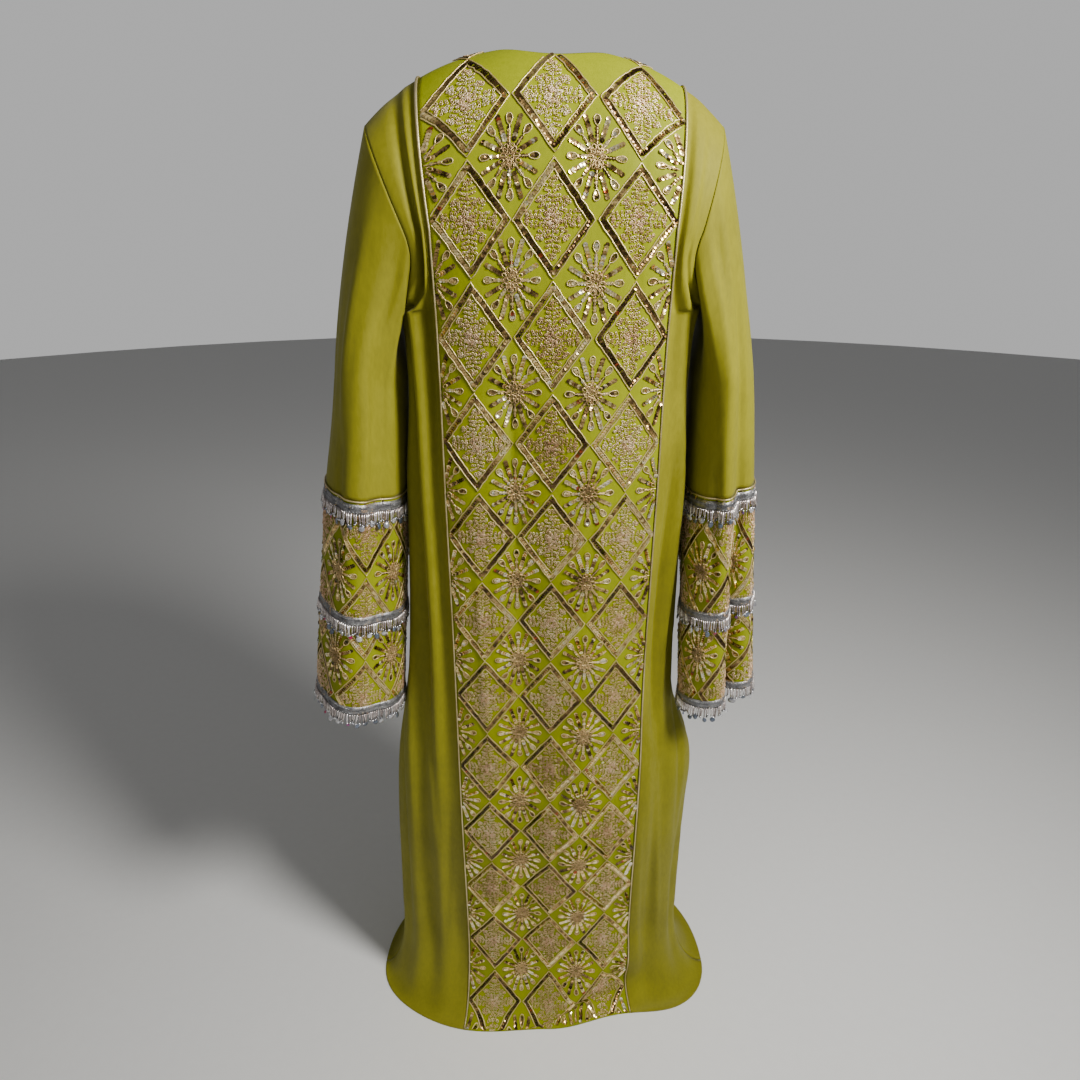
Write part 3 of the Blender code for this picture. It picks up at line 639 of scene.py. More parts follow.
SLEEVE_RING_Z = -0.33
UNDERARM_EASE = 0.0007
CUFF_Z = -0.47
CUFF_END_Z = -0.785
SHOULDER_ROWS = 5
ARMHOLE_ROWS = 4
SLEEVE_COLUMNS = 2 * (SHOULDER_ROWS + ARMHOLE_ROWS)
Arm = namedtuple("Arm", "z x y across deep swing")
ARMS = {
    LEFT: [
        Arm(-0.84, 0.2890, -0.042, 0.0630, 0.074, 0.004),
        Arm(-0.785, 0.2825, -0.040, 0.0620, 0.074, 0.004),
        Arm(-0.72, 0.2745, -0.038, 0.0600, 0.075, 0.003),
        Arm(-0.64, 0.2650, -0.034, 0.0570, 0.076, 0.002),
        Arm(-0.55, 0.2555, -0.030, 0.0545, 0.078, 0.001),
        Arm(-0.47, 0.2470, -0.026, 0.0520, 0.079, 0.000),
        Arm(-0.40, 0.2378, -0.022, 0.0480, 0.079, 0.000),
        Arm(-0.33, 0.2300, -0.020, 0.0445, 0.078, 0.000),
    ],
    RIGHT: [
        Arm(-0.84, 0.2500, -0.038, 0.0580, 0.056, 0.018),
        Arm(-0.785, 0.2480, -0.038, 0.0565, 0.057, 0.017),
        Arm(-0.72, 0.2430, -0.035, 0.0550, 0.060, 0.015),
        Arm(-0.64, 0.2380, -0.031, 0.0515, 0.064, 0.012),
        Arm(-0.55, 0.2310, -0.026, 0.0490, 0.070, 0.008),
        Arm(-0.47, 0.2265, -0.021, 0.0440, 0.075, 0.005),
        Arm(-0.40, 0.2200, -0.017, 0.0395, 0.080, 0.002),
        Arm(-0.33, 0.2145, -0.015, 0.0350, 0.082, 0.000),
    ],
}
RING_TILT = {LEFT: 0.20, RIGHT: 0.15}
SleeveFold = namedtuple("SleeveFold", "angle width hem middle cuff upper")
SLEEVE_FOLD_HEIGHTS = (-0.785, -0.64, -0.47, -0.33)
SLEEVE_FOLDS = {
    LEFT: [
        SleeveFold(124, 16, -0.005, -0.006, -0.007, -0.008),
        SleeveFold(86, 20, 0.003, 0.003, 0.004, 0.004),
        SleeveFold(48, 16, -0.004, -0.003, -0.002, -0.003),
        SleeveFold(236, 18, -0.006, -0.005, -0.005, -0.004),
        SleeveFold(300, 18, -0.006, -0.004, -0.003, -0.004),
    ],
    RIGHT: [
        SleeveFold(68, 17, -0.044, -0.032, -0.018, -0.008),
        SleeveFold(100, 18, 0.002, 0.003, 0.004, 0.003),
        SleeveFold(236, 18, -0.006, -0.005, -0.005, -0.004),
        SleeveFold(300, 18, -0.007, -0.005, -0.004, -0.004),
    ],
}


def arm_ring(side, angle, z):
    """Points of the arm form on the ring at a height, at angles back from the outer side."""
    arm = ARMS[side]
    across, deep = read(arm, "across", z), read(arm, "deep", z)
    cos, sin = np.cos(angle), np.sin(angle)
    centre = np.array([side * read(arm, "x", z), read(arm, "y", z), z])
    away = [side * across * cos, read(arm, "swing", z) * cos - deep * sin, RING_TILT[side] * across * cos]
    point = centre + np.stack(away, axis=-1)
    depth = np.zeros(len(angle))
    for fold in SLEEVE_FOLDS[side]:
        aside = (np.degrees(angle) - fold.angle + 180) % 360 - 180
        depth += curve_through(SLEEVE_FOLD_HEIGHTS, fold[2:], z) * np.exp(-((aside / fold.width) ** 2))
    return point + unit(point - centre) * depth[:, None]


def armhole_points(side, columns):
    points = []
    for column in columns:
        face = "back" if column <= SLEEVE_COLUMNS / 2 else "front"
        k = column if face == "back" else SLEEVE_COLUMNS - column
        row = k / SHOULDER_ROWS if k <= SHOULDER_ROWS else 1 + (k - SHOULDER_ROWS) / ARMHOLE_ROWS
        row = min(row, 2)
        reach = edge_reach(face, side, height_of(row))
        points.append(form_points(face, side, np.array([reach]), row)[0])
    return np.array(points)


def sleeve_ring(side, angle, level, armhole):
    """Level 0 is the armhole, 1 the first full ring, and past 1 the metres down from that ring."""
    if level >= 1:
        return arm_ring(side, angle, SLEEVE_RING_Z - (level - 1))
    clear = LAID_GAP + UNDERARM_EASE * (1 - np.cos(angle)) / 2
    start = armhole + np.stack([side * clear, 0 * clear, 0 * clear], axis=-1)
    end = arm_ring(side, angle, SLEEVE_RING_Z)
    length = np.linalg.norm(end - start, axis=-1, keepdims=True)
    outer = (1 + np.cos(angle)) / 2
    leave = length * np.stack([side * (0.22 + 0.08 * outer), 0 * outer, 0 * outer - 0.95], axis=-1)
    arrive = length * np.array([side * 0.12, 0, -0.85])
    t = level
    point = (2 * t**3 - 3 * t**2 + 1) * start + (t**3 - 2 * t**2 + t) * leave
    return point + (-2 * t**3 + 3 * t**2) * end + (t**3 - t**2) * arrive


# Fine creases of the sleeves, by angle back from the outer side in degrees and height
SLEEVE_CREASES = {
    LEFT: [
        Crease(98, -0.12, 116, -0.47, 6, -0.0066),
        Crease(130, -0.14, 140, -0.46, 7, 0.0046),
        Crease(70, -0.16, 64, -0.40, 7, 0.0044),
        Crease(110, -0.26, 100, -0.46, 6, 0.0051),
        Crease(30, -0.22, 20, -0.42, 8, -0.0044),
        Crease(60, -0.36, 74, -0.60, 7, -0.0041),
        Crease(20, -0.55, 10, -0.76, 8, 0.0037),
        Crease(150, -0.14, 166, -0.28, 8, -0.0051),
        Crease(270, -0.12, 262, -0.36, 8, 0.0048),
        Crease(320, -0.20, 330, -0.44, 8, -0.0044),
        Crease(215, -0.30, 205, -0.60, 9, 0.0044),
        Crease(280, -0.50, 272, -0.76, 8, -0.0041),
    ],
    RIGHT: [
        Crease(90, -0.08, 80, -0.26, 7, -0.0051),
        Crease(112, -0.16, 118, -0.36, 7, 0.0044),
        Crease(60, -0.20, 66, -0.40, 6, -0.0044),
        Crease(24, -0.24, 34, -0.46, 8, 0.0041),
        Crease(118, -0.40, 110, -0.62, 7, -0.0044),
        Crease(30, -0.56, 22, -0.76, 8, -0.0034),
        Crease(152, -0.16, 164, -0.30, 8, -0.0048),
        Crease(266, -0.14, 274, -0.38, 8, 0.0048),
        Crease(324, -0.22, 314, -0.46, 8, -0.0044),
        Crease(206, -0.34, 214, -0.64, 9, 0.0041),
        Crease(272, -0.52, 284, -0.76, 8, -0.0041),
    ],
}


def tube_cloth(side, columns, levels, creases):
    """Outer and inner points of a sleeve or cuff, and the directions out of it."""
    angle = columns * 2 * math.pi / SLEEVE_COLUMNS
    armhole = armhole_points(side, columns)
    outer, inner, normals = [], [], []
    for level in levels:
        ring = sleeve_ring(side, angle, level, armhole)
        fall = sleeve_ring(side, angle, level + 0.01, armhole) - sleeve_ring(side, angle, max(level - 0.01, 0), armhole)
        run = np.roll(ring[:-1], -1, axis=0) - np.roll(ring[:-1], 1, axis=0)
        normal = unit(np.cross(fall[:-1], run)) * -side
        normal = np.concatenate([normal, normal[:1]])
        degrees = np.degrees(angle)
        z = ring[:, 2]
        fine = crease_depth([c._replace(z=c.z * 100, to_z=c.to_z * 100) for c in creases], degrees, z * 100)
        fade = min(1.0, level * 4, (SLEEVE_RING_Z + 1 - CUFF_END_Z - level) * 30 if level > 1 else 1.0)
        ring = ring + normal * (fine * max(fade, 0) * np.clip(8 * (1 - np.abs(degrees / 180 - 1)), 0, 1))[:, None]
        outer.append(ring)
        inner.append(ring - normal * CLOTH)
        normals.append(normal)
    return np.array(outer), np.array(inner), np.array(normals)


def level_at(z):
    return 1 + SLEEVE_RING_Z - z


def closed_round(*layers):
    """Makes the last column of each layer meet the first exactly, so that the tube can be closed."""
    for layer in layers:
        layer[:, -1] = layer[:, 0]


CUFF_REPEATS = 5
CUFF_GROUNDS = {}
for word, side in SIDES.items():
    columns = np.linspace(0, SLEEVE_COLUMNS, 73)
    levels = list(np.linspace(0, 1, 46)[:-1]) + list(np.linspace(1, level_at(CUFF_Z) - SEAM_GAP / 2, 25))
    outer, inner, _ = tube_cloth(side, columns, levels, SLEEVE_CREASES[side])
    closed_round(outer, inner)
    piece = finished(f"cloth_sleeve_{word}", cloth_mesh(outer, inner, True), CREPE, "crepe", f"sleeve_{word}")
    levels = np.linspace(level_at(CUFF_Z) + SEAM_GAP / 2, level_at(CUFF_END_Z), 66)
    outer, inner, normals = tube_cloth(side, columns, levels, SLEEVE_CREASES[side])
    closed_round(outer, inner)
    cuff = cloth_mesh(outer, inner, True)
    piece = finished(f"cloth_cuff_{word}", cuff, LIME_CREPE, "embroidered_crepe", f"cuff_{word}")
    steps = np.linalg.norm(np.diff(outer, axis=1), axis=2).mean(axis=0)
    turn = np.concatenate([[0], np.cumsum(steps)]) / steps.sum() * CUFF_REPEATS * 0.092
    ground = Ground(outer, turn, levels - levels[0], np.array([0, -1, 0]))
    ground.normal = normals
    CUFF_GROUNDS[side] = ground

# The gold piping: a cord of twisted metal thread, sewn along both seams of the panel and round the top
# of each cuff, half sunk in the seam.

SEED = np.random.default_rng(11)
PIPING_RADIUS = 0.00105
PIPING_PITCH = 0.0052
PIPING_STEP = 0.0013


def mesh_of(name, points, corners, starts, tones=None):
    """A mesh from arrays of points, face corners and where each face starts in them."""
    data = bpy.data.meshes.new(name)
    data.vertices.add(len(points))
    data.vertices.foreach_set("co", points.astype(np.float32).ravel())
    data.loops.add(len(corners))
    data.loops.foreach_set("vertex_index", corners.astype(np.int32))
    data.polygons.add(len(starts))
    data.polygons.foreach_set("loop_start", starts.astype(np.int32))
    data.update(calc_edges=True)
    if tones is not None:
        layer = data.attributes.new("tone", "FLOAT", "POINT")
        layer.data.foreach_set("value", tones.astype(np.float32))
    return data


def threads(name, ground, paths, radius, lift, sides=4, keep=None, lobes=0.0, pitch=1.0, tones=None):
    """Cords laid along flat paths of equal count, with rings of a few sides; keep picks the rings that stay."""
    paths = np.asarray(paths, float)
    count, length = paths.shape[:2]
    run = unit(np.gradient(paths, axis=1) + 1e-12)
    along = np.concatenate([[0], np.cumsum(np.linalg.norm(np.diff(paths[0], axis=0), axis=1))])
    angle = np.arange(sides) * 2 * math.pi / sides + math.pi / sides
    swell = 1 + lobes * np.cos(2 * (angle[None, :] - 2 * math.pi * along[:, None] / pitch))
    flat = np.zeros((count, length, sides, 3))
    flat[..., 0] = paths[..., 0, None] - run[..., 1, None] * radius * swell * np.cos(angle)
    flat[..., 1] = paths[..., 1, None] + run[..., 0, None] * radius * swell * np.cos(angle)
    flat[..., 2] = lift + radius * swell * np.sin(angle)
    points = ground.laid(flat).reshape(-1, 3)
    kept = np.ones((count, length), bool) if keep is None else keep
    item, ring = np.nonzero(kept[:, :-1] & kept[:, 1:])
    side = np.arange(sides)
    base = (item * length + ring)[:, None] * sides
    quads = np.stack(
        [base + side, base + (side + 1) % sides, base + sides + (side + 1) % sides, base + sides + side], axis=-1
    ).reshape(-1, 4)
    used, corners = np.unique(quads, return_inverse=True)
    shade = None
    if tones is not None:
        shade = np.broadcast_to(tones[:, None, None], (count, length, sides)).ravel()[used]
    return mesh_of(name, points[used], corners.ravel(), np.arange(len(quads)) * 4, shade)


def metal_thread(name, dark, light, metallic, roughness, twist_scale):
    """Metal thread: fine windings that catch the light, tarnished a little between them."""
    made, shader, start = finish_of(name, light, Metallic=metallic, Roughness=roughness, Specular_IOR_Level=0.5)
    place = start.add("ShaderNodeTexCoord", output=3)
    windings = start.noise(place, twist_scale, 2.0, 0.6)
    patches = start.noise(place, 30.0, 2.0, 0.5)
    tone = (windings * 0.7 + patches * 0.5).between(0.40, 0.80)
    feed(start, shader, Base_Color=start.mixed(tone, dark, light))
    feed(start, shader, Roughness=windings * 0.25 + (roughness - 0.1))
    feed(start, shader, Normal=start.bump(windings, 0.5, 0.0004))
    return made


GOLD_PIPING = metal_thread("gold_piping", (0.36, 0.27, 0.10, 1), (0.86, 0.74, 0.42, 1), 0.75, 0.36, 1500.0)

for word, side in SIDES.items():
    top = float(neck_down(PANEL_HALF)) + 0.001
    fall = np.arange(top, PANEL_LENGTH - 0.001, PIPING_STEP)
    path = np.stack([np.full(len(fall), side * PANEL_HALF), fall], axis=-1)[None]
    cord = threads(
        f"piping_{word}_cord", PANEL_GROUND, path, PIPING_RADIUS, PIPING_RADIUS + LAID_GAP, 7, None, 0.16, PIPING_PITCH
    )
    finished(f"cord_piping_{word}", cord, GOLD_PIPING, "gold_piping", f"piping_{word}")
    ground = CUFF_GROUNDS[side]
    turn = np.linspace(ground.across[0], ground.across[-1], 331)
    path = np.stack([turn, np.zeros(len(turn))], axis=-1)[None]
    cord = threads(
        f"cuff_piping_{word}_cord", ground, path, PIPING_RADIUS, PIPING_RADIUS + LAID_GAP, 7, None, 0.16, PIPING_PITCH
    )
    finished(f"cord_cuff_piping_{word}", cord, GOLD_PIPING, "gold_piping", f"cuff_piping_{word}")

# The lattice: every filled diamond is outlined by a row of overlapping sequins between two couched gold
# cords. The panel has three columns of diamonds, the cuffs five round each; all is sewn through the cloth.

PITCH_ACROSS = 0.092
PITCH_DOWN = 0.1245
DIAMOND_EDGE = 0.0774
DIAMOND_INSET = 0.0370
OUTER_CORD = 1 - 0.0008 / DIAMOND_INSET
INNER_CORD = 1 - 0.0080 / DIAMOND_INSET
SEQUIN_ROW = 1 - 0.0044 / DIAMOND_INSET
CORD_RADIUS = 0.00074
EDGE_STEPS = 12
SEAM_MARGIN = 0.0022
NECK_MARGIN = 0.0035
HEM_MARGIN = 0.003
CUFF_MARGINS = (0.004, 0.312)
ROW_SEQUIN = 0.0036


def panel_inside(flat):
    across, down = flat[..., 0], flat[..., 1]
    beside = np.abs(across) < PANEL_HALF - SEAM_MARGIN
    return beside & (down > neck_down(across) + NECK_MARGIN) & (down < PANEL_LENGTH - HEM_MARGIN)


def cuff_inside(flat):
    return (flat[..., 1] > CUFF_MARGINS[0]) & (flat[..., 1] < CUFF_MARGINS[1])


FIRST_ROW = down_at_height(-0.273) - 2 * PITCH_DOWN
PANEL_DIAMONDS = [(i * PITCH_ACROSS, FIRST_ROW + j * PITCH_DOWN) for j in range(-1, 13) for i in (-1, 0, 1)]
PANEL_FLOWERS = [
    ((i + 0.5) * PITCH_ACROSS, FIRST_ROW + (j + 0.5) * PITCH_DOWN) for j in range(0, 13) for i in (-2, -1, 0, 1)
]
CUFF_CROSSING = 0.103
CUFF_DIAMONDS = [
    ((i + 0.5) * PITCH_ACROSS, CUFF_CROSSING + (j - 0.5) * PITCH_DOWN) for j in range(0, 4) for i in range(CUFF_REPEATS)
]
CUFF_FLOWERS = [
    (i * PITCH_ACROSS, CUFF_CROSSING + j * PITCH_DOWN) for j in range(-1, 3) for i in range(CUFF_REPEATS)
]
FIELDS = [
    ("panel", PANEL_GROUND, PANEL_DIAMONDS, PANEL_FLOWERS, panel_inside),
    ("cuff_left", CUFF_GROUNDS[LEFT], CUFF_DIAMONDS, CUFF_FLOWERS, cuff_inside),
    ("cuff_right", CUFF_GROUNDS[RIGHT], CUFF_DIAMONDS, CUFF_FLOWERS, cuff_inside),
]


def diamond_path(scale, steps):
    """Points round a diamond, from its top corner, at a scale of its full size."""
    corners = np.array([(0, -0.5), (0.5, 0), (0, 0.5), (-0.5, 0), (0, -0.5)]) * (PITCH_ACROSS, PITCH_DOWN) * scale
    t = np.arange(steps)[:, None] / steps
    edges = [corners[k] * (1 - t) + corners[k + 1] * t for k in range(4)]
    return np.concatenate(edges + [corners[:1]])


def shape_of(mesh):
    """Points and faces of a small shape, ready to be set out many times."""
    mesh.verts.ensure_lookup_table()
    points = np.array([vert.co for vert in mesh.verts])
    faces = [[vert.index for vert in face.verts] for face in mesh.faces]
    mesh.free()
    return points, faces


def sequin_shape():
    mesh = bmesh.new()
    ring = bmesh.ops.create_circle(mesh, radius=0.0026, segments=7)
    spread = bmesh.ops.extrude_edge_only(mesh, edges=mesh.edges[:])
    inner = [item for item in spread["geom"] if isinstance(item, bmesh.types.BMVert)]
    for vert in inner:
        vert.co = Vector((vert.co.x * 0.2, vert.co.y * 0.2, -0.0004))
    bmesh.ops.recalc_face_normals(mesh, faces=mesh.faces)
    return shape_of(mesh)


def set_out(name, ground, shape, places, turns, sizes, lift, tilts=0.0, tones=None, rolls=0.0):
    """Many copies of a small shape on a cloth, each turned, sized and tipped up along its own length."""
    points, faces = shape
    places, count = np.asarray(places, float), len(places)
    sizes = np.broadcast_to(np.asarray(sizes, float), (count,))[:, None]
    cos, sin = np.cos(turns)[:, None], np.sin(turns)[:, None]
    x, y, z = points[:, 0] * sizes, points[:, 1] * sizes, points[:, 2] * sizes
    flat = np.zeros((count, len(points), 3))
    flat[..., 0] = places[:, 0, None] + x * cos - y * sin
    flat[..., 1] = places[:, 1, None] + x * sin + y * cos
    tilts = np.broadcast_to(tilts, (count,))[:, None]
    rolls = np.broadcast_to(rolls, (count,))[:, None]
    flat[..., 2] = np.broadcast_to(lift, (count,))[:, None] + z + x * np.tan(tilts) + y * np.tan(rolls)
    laid = ground.laid(flat).reshape(-1, 3)
    corner = np.concatenate([np.array(face) for face in faces])
    sides = np.array([len(face) for face in faces])
    corners = (corner[None, :] + len(points) * np.arange(count)[:, None]).ravel()
    starts = np.concatenate([[0], np.cumsum(np.tile(sides, count))[:-1]])
    shade = None if tones is None else np.repeat(tones, len(points))
    return mesh_of(name, laid, corners, starts, shade)


def sequin_finish():
    """Sequins: cupped gold metal foil whose colour carries painted reflection, dark on many and bright on others, with
    bright silver or copper on a few.
    """
    made, shader, start = finish_of("sequin_foil_and_reflection", (0.6, 0.5, 0.3, 1), Metallic=0.92, Roughness=0.2, Coat_Weight=0.3)
    tone = start.add("ShaderNodeAttribute", {"attribute_name": "tone"}, output=2)
    # Low tones are painted dark reflection and the high gold tones a painted glint; the stop at 0.975 is silver and the
    # last stop is copper foil.
    stops = [
        (0.00, (0.050, 0.026, 0.009, 1)),
        (0.30, (0.180, 0.100, 0.035, 1)),
        (0.46, (0.500, 0.310, 0.110, 1)),
        (0.66, (0.920, 0.680, 0.280, 1)),
        (0.95, (0.980, 0.860, 0.520, 1)),
        (0.975, (0.970, 0.880, 0.680, 1)),
        (1.00, (0.380, 0.070, 0.020, 1)),
    ]
    colour = start.add("ShaderNodeValToRGB", {"stops": stops}, {0: tone})
    place = start.add("ShaderNodeTexCoord", output=3)
    scuffs = start.noise(place, 420.0, 2.0, 0.6)
    feed(start, shader, Base_Color=colour)
    feed(start, shader, Roughness=scuffs * 0.22 + 0.10)
    feed(start, shader, Normal=start.bump(scuffs, 0.25, 0.0003))
    return made


SEQUIN = sequin_shape()
SEQUIN_FOIL_AND_REFLECTION = sequin_finish()
GOLD_CORD = metal_thread("gold_cord", (0.40, 0.25, 0.07, 1), (0.98, 0.80, 0.40, 1), 0.6, 0.34, 1900.0)

for word, ground, diamonds, flowers, inside in FIELDS:
    centres = np.array(diamonds)
    centres = centres + SEED.normal(0, 0.0006, centres.shape)
    paths = []
    for scale in (OUTER_CORD, INNER_CORD):
        path = diamond_path(scale, EDGE_STEPS)
        wobble = SEED.normal(0, 0.00035, (len(centres), len(path), 2))
        paths.append(centres[:, None] + path[None] + wobble)
    paths = np.concatenate(paths)
    cord = threads(f"lattice_{word}", ground, paths, CORD_RADIUS, CORD_RADIUS * 0.8 + 0.0002, 4, inside(paths))
    finished(f"lattice_cord_{word}", cord, GOLD_CORD, "embroidered_crepe")
    steps = round(DIAMOND_EDGE * SEQUIN_ROW / ROW_SEQUIN)
    path = diamond_path(SEQUIN_ROW, steps)
    run = np.diff(path, axis=0)
    path = path[:-1] + run * 0.5
    places = (centres[:, None] + path[None] + SEED.normal(0, 0.00025, (len(centres), len(path), 2))).reshape(-1, 2)
    turns = np.tile(np.arctan2(run[:, 1], run[:, 0]), len(centres)) + SEED.normal(0, 0.08, len(places))
    # The tones run from dark to light along each row of sequins: painted reflection, for the angle each sequin meets
    # the light at. The rare tone of 1.0 is copper foil.
    edges = np.repeat(SEED.uniform(0.22, 0.62, (len(centres), 4)), steps, axis=1)
    reflection_runs = np.cumsum(SEED.normal(0, 0.08, edges.shape), axis=1)
    reflection_runs = np.abs((edges + reflection_runs) % 1.7 - 0.85) + 0.02
    tones = np.clip(reflection_runs.ravel() * 0.9 + SEED.normal(0, 0.10, len(places)), 0, 0.97)
    tones = np.where(SEED.random(len(places)) < 0.006, 1.0, tones)
    kept = inside(places)
    row = set_out(
        f"rows_{word}", ground, SEQUIN, places[kept], turns[kept], 1.0, 0.0010,
        0.20 + SEED.normal(0, 0.07, int(kept.sum())), tones[kept], SEED.normal(0, 0.08, int(kept.sum())),
    )
    finished(f"sequin_rows_{word}", row, SEQUIN_FOIL_AND_REFLECTION, "embroidered_crepe")

# The flakes: each diamond is filled with an eight-armed spray of small loop stitches in thick copper
# thread, raised a little from the cloth, its arms longest up and down.

LOOP_LENGTH = 0.0050
LOOP_WIDTH = 0.0033
THREAD = 0.00088
ARM_STEP = 0.0047


def loop_shape(length, width, thread):
    """A flat ring of thread that starts at the origin and runs out along X."""
    mesh = bmesh.new()
    bmesh.ops.create_circle(mesh, radius=thread / 2, segments=3)
    bmesh.ops.rotate(mesh, verts=mesh.verts, cent=(0, 0, 0), matrix=Matrix.Rotation(math.pi / 2, 3, "X"))
    bmesh.ops.translate(mesh, verts=mesh.verts, vec=((width - thread) / 2, 0, 0))
    geom = mesh.verts[:] + mesh.edges[:]
    bmesh.ops.spin(
        mesh, geom=geom, cent=(0, 0, 0), axis=(0, 0, 1), angle=2 * math.pi, steps=6, use_merge=True, use_duplicate=False
    )
    bmesh.ops.remove_doubles(mesh, verts=mesh.verts, dist=1e-6)
    bmesh.ops.scale(mesh, verts=mesh.verts, vec=(length / width, 1, 1))
    bmesh.ops.translate(mesh, verts=mesh.verts, vec=(length / 2, 0, 0))
    bmesh.ops.recalc_face_normals(mesh, faces=mesh.faces)
    return shape_of(mesh)


def flake_loops():
    """Where the loops of one flake start, from its centre, and which way they point."""
    loops = []
    arms = [(0, 1, 0.0440), (0, -1, 0.0440), (1, 0, 0.0325), (-1, 0, 0.0325)]
    arms += [(0.62 * a, 0.80 * b, 0.0285) for a in (-1, 1) for b in (-1, 1)]
    for right, low, length in arms:
        heading = math.atan2(low, right)
        straight = abs(right) == 1 or abs(low) == 1
        for out in np.arange(0.0010, length - LOOP_LENGTH * 1.2, ARM_STEP):
            share = out / length
            loops.append((out, 0.0, heading, 0.0))
            for turn in (-1, 1):
                loops.append((out + 0.0016, turn * 0.0018, heading, turn * 0.85))
                if straight and 0.30 < share < 0.76:
                    loops.append((out + 0.0026, turn * 0.0050, heading, turn * 1.10))
        for turn in (-0.75, 0.0, 0.75):
            loops.append((length - LOOP_LENGTH * 1.1, turn * 0.0012, heading, turn))
    rows = []
    for out, aside, heading, turn in loops:
        x = out * math.cos(heading) - aside * math.sin(heading)
        y = out * math.sin(heading) + aside * math.cos(heading)
        rows.append((x, y, heading + turn))
    return np.array(rows)


def copper_thread():
    """Thick stitching thread in copper and rose gold, darker in some sprays than in others."""
    made, shader, start = finish_of(
        "copper_thread", (0.7, 0.5, 0.35, 1), Metallic=0.7, Roughness=0.42, Specular_IOR_Level=0.3
    )
    tone = start.add("ShaderNodeAttribute", {"attribute_name": "tone"}, output=2)
    place = start.add("ShaderNodeTexCoord", output=3)
    strands = start.noise(place, 1400.0, 2.0, 0.6)
    stops = [
        (0.0, (0.170, 0.080, 0.035, 1)),
        (0.32, (0.520, 0.300, 0.160, 1)),
        (0.62, (0.900, 0.640, 0.400, 1)),
        (1.0, (0.980, 0.850, 0.620, 1)),
    ]
    colour = start.add("ShaderNodeValToRGB", {"stops": stops}, {0: tone * 0.75 + strands * 0.35 - 0.03})
    feed(start, shader, Base_Color=colour)
    feed(start, shader, Roughness=strands * 0.3 + 0.26)
    feed(start, shader, Normal=start.bump(strands, 0.5, 0.0003))
    return made


LOOP = loop_shape(LOOP_LENGTH, LOOP_WIDTH, THREAD)
COPPER_THREAD = copper_thread()
FLAKE = flake_loops()


def flakes(name, ground, centres, inside):
    count = len(centres)
    centres = centres + SEED.normal(0, 0.0006, centres.shape)
    places = (centres[:, None] + FLAKE[None, :, :2] + SEED.normal(0, 0.00035, (count, len(FLAKE), 2))).reshape(-1, 2)
    turns = np.tile(FLAKE[:, 2], count) + SEED.normal(0, 0.22, len(places))
    sprays = np.repeat(SEED.normal(0.56, 0.10, count), len(FLAKE))
    tones = np.clip(sprays + SEED.normal(0, 0.17, len(places)), 0, 1)
    kept = inside(places)
    n = int(kept.sum())
    stitches = set_out(
        name, ground, LOOP, places[kept], turns[kept], SEED.uniform(0.82, 1.08, n), SEED.uniform(0.0006, 0.0013, n),
        SEED.normal(0.03, 0.10, n), tones[kept],
    )
    return finished(name, stitches, COPPER_THREAD, "embroidered_crepe")


for word, ground, diamonds, flowers, inside in FIELDS:
    centres = np.array(diamonds)
    if word == "panel":
        half = len(centres) // 2
        flakes("flakes_panel_upper", ground, centres[:half], inside)
        flakes("flakes_panel_lower", ground, centres[half:], inside)
    else:
        flakes(f"flakes_{word}", ground, centres, inside)

# The flowers between the diamonds: sixteen rays of sequins, every second one an oval outlined in gold
# cord, round a heart of long gold loops.

FLOWER_ACROSS = 0.0318
FLOWER_DOWN = 0.0436
OVAL_LENGTH = 0.0118
OVAL_WIDTH = 0.0066


def ray(k):
    angle = k * math.pi / 8
    tip = np.array([FLOWER_ACROSS * math.cos(angle), FLOWER_DOWN * math.sin(angle)])
    length = float(np.linalg.norm(tip))
    return tip / length, length


ovals, stems, ray_sequins, hearts = [], [], [], []
for k in range(16):
    way, length = ray(k)
    aside = np.array([-way[1], way[0]])
    heading = math.atan2(way[1], way[0])
    if k % 2 == 0:
        t = np.linspace(0, 2 * math.pi, 13)
        middle = way * (length - OVAL_LENGTH / 2)
        bulge = np.sin(t)[:, None] * aside * OVAL_WIDTH / 2 * (1 + 0.25 * np.cos(t)[:, None])
        ovals.append(middle + np.cos(t)[:, None] * way * OVAL_LENGTH / 2 + bulge)
        stems.append(np.linspace(0.004, length - OVAL_LENGTH, 5)[:, None] * way)
        for out in (length - 0.0042, length - 0.0075):
            ray_sequins.append((*(way * out), heading, 0.92))
        for out in np.arange(0.011, length - OVAL_LENGTH - 0.001, 0.0036):
            ray_sequins.append((*(way * out), heading, 0.85))
        hearts.append((*(way * 0.0022), heading, 2.0))
    else:
        for out in np.arange(length * 0.42, length + 0.0001, 0.0034):
            ray_sequins.append((*(way * out), heading, 1.08))
        hearts.append((*(way * 0.0058), heading, 1.75))
        hearts.append((*(way * 0.0008), heading, 0.9))
ovals, stems, ray_sequins, hearts = (np.array(rows) for rows in (ovals, stems, ray_sequins, hearts))


def over_field(rows, centres):
    """Rows of place, heading and size for every flower of a field."""
    spread = np.repeat(rows[None], len(centres), axis=0).copy()
    spread[..., :2] += centres[:, None]
    return spread.reshape(-1, rows.shape[1])


GOLD_LOOPS = metal_thread("gold_loops", (0.20, 0.105, 0.035, 1), (0.90, 0.66, 0.32, 1), 0.65, 0.36, 1100.0)

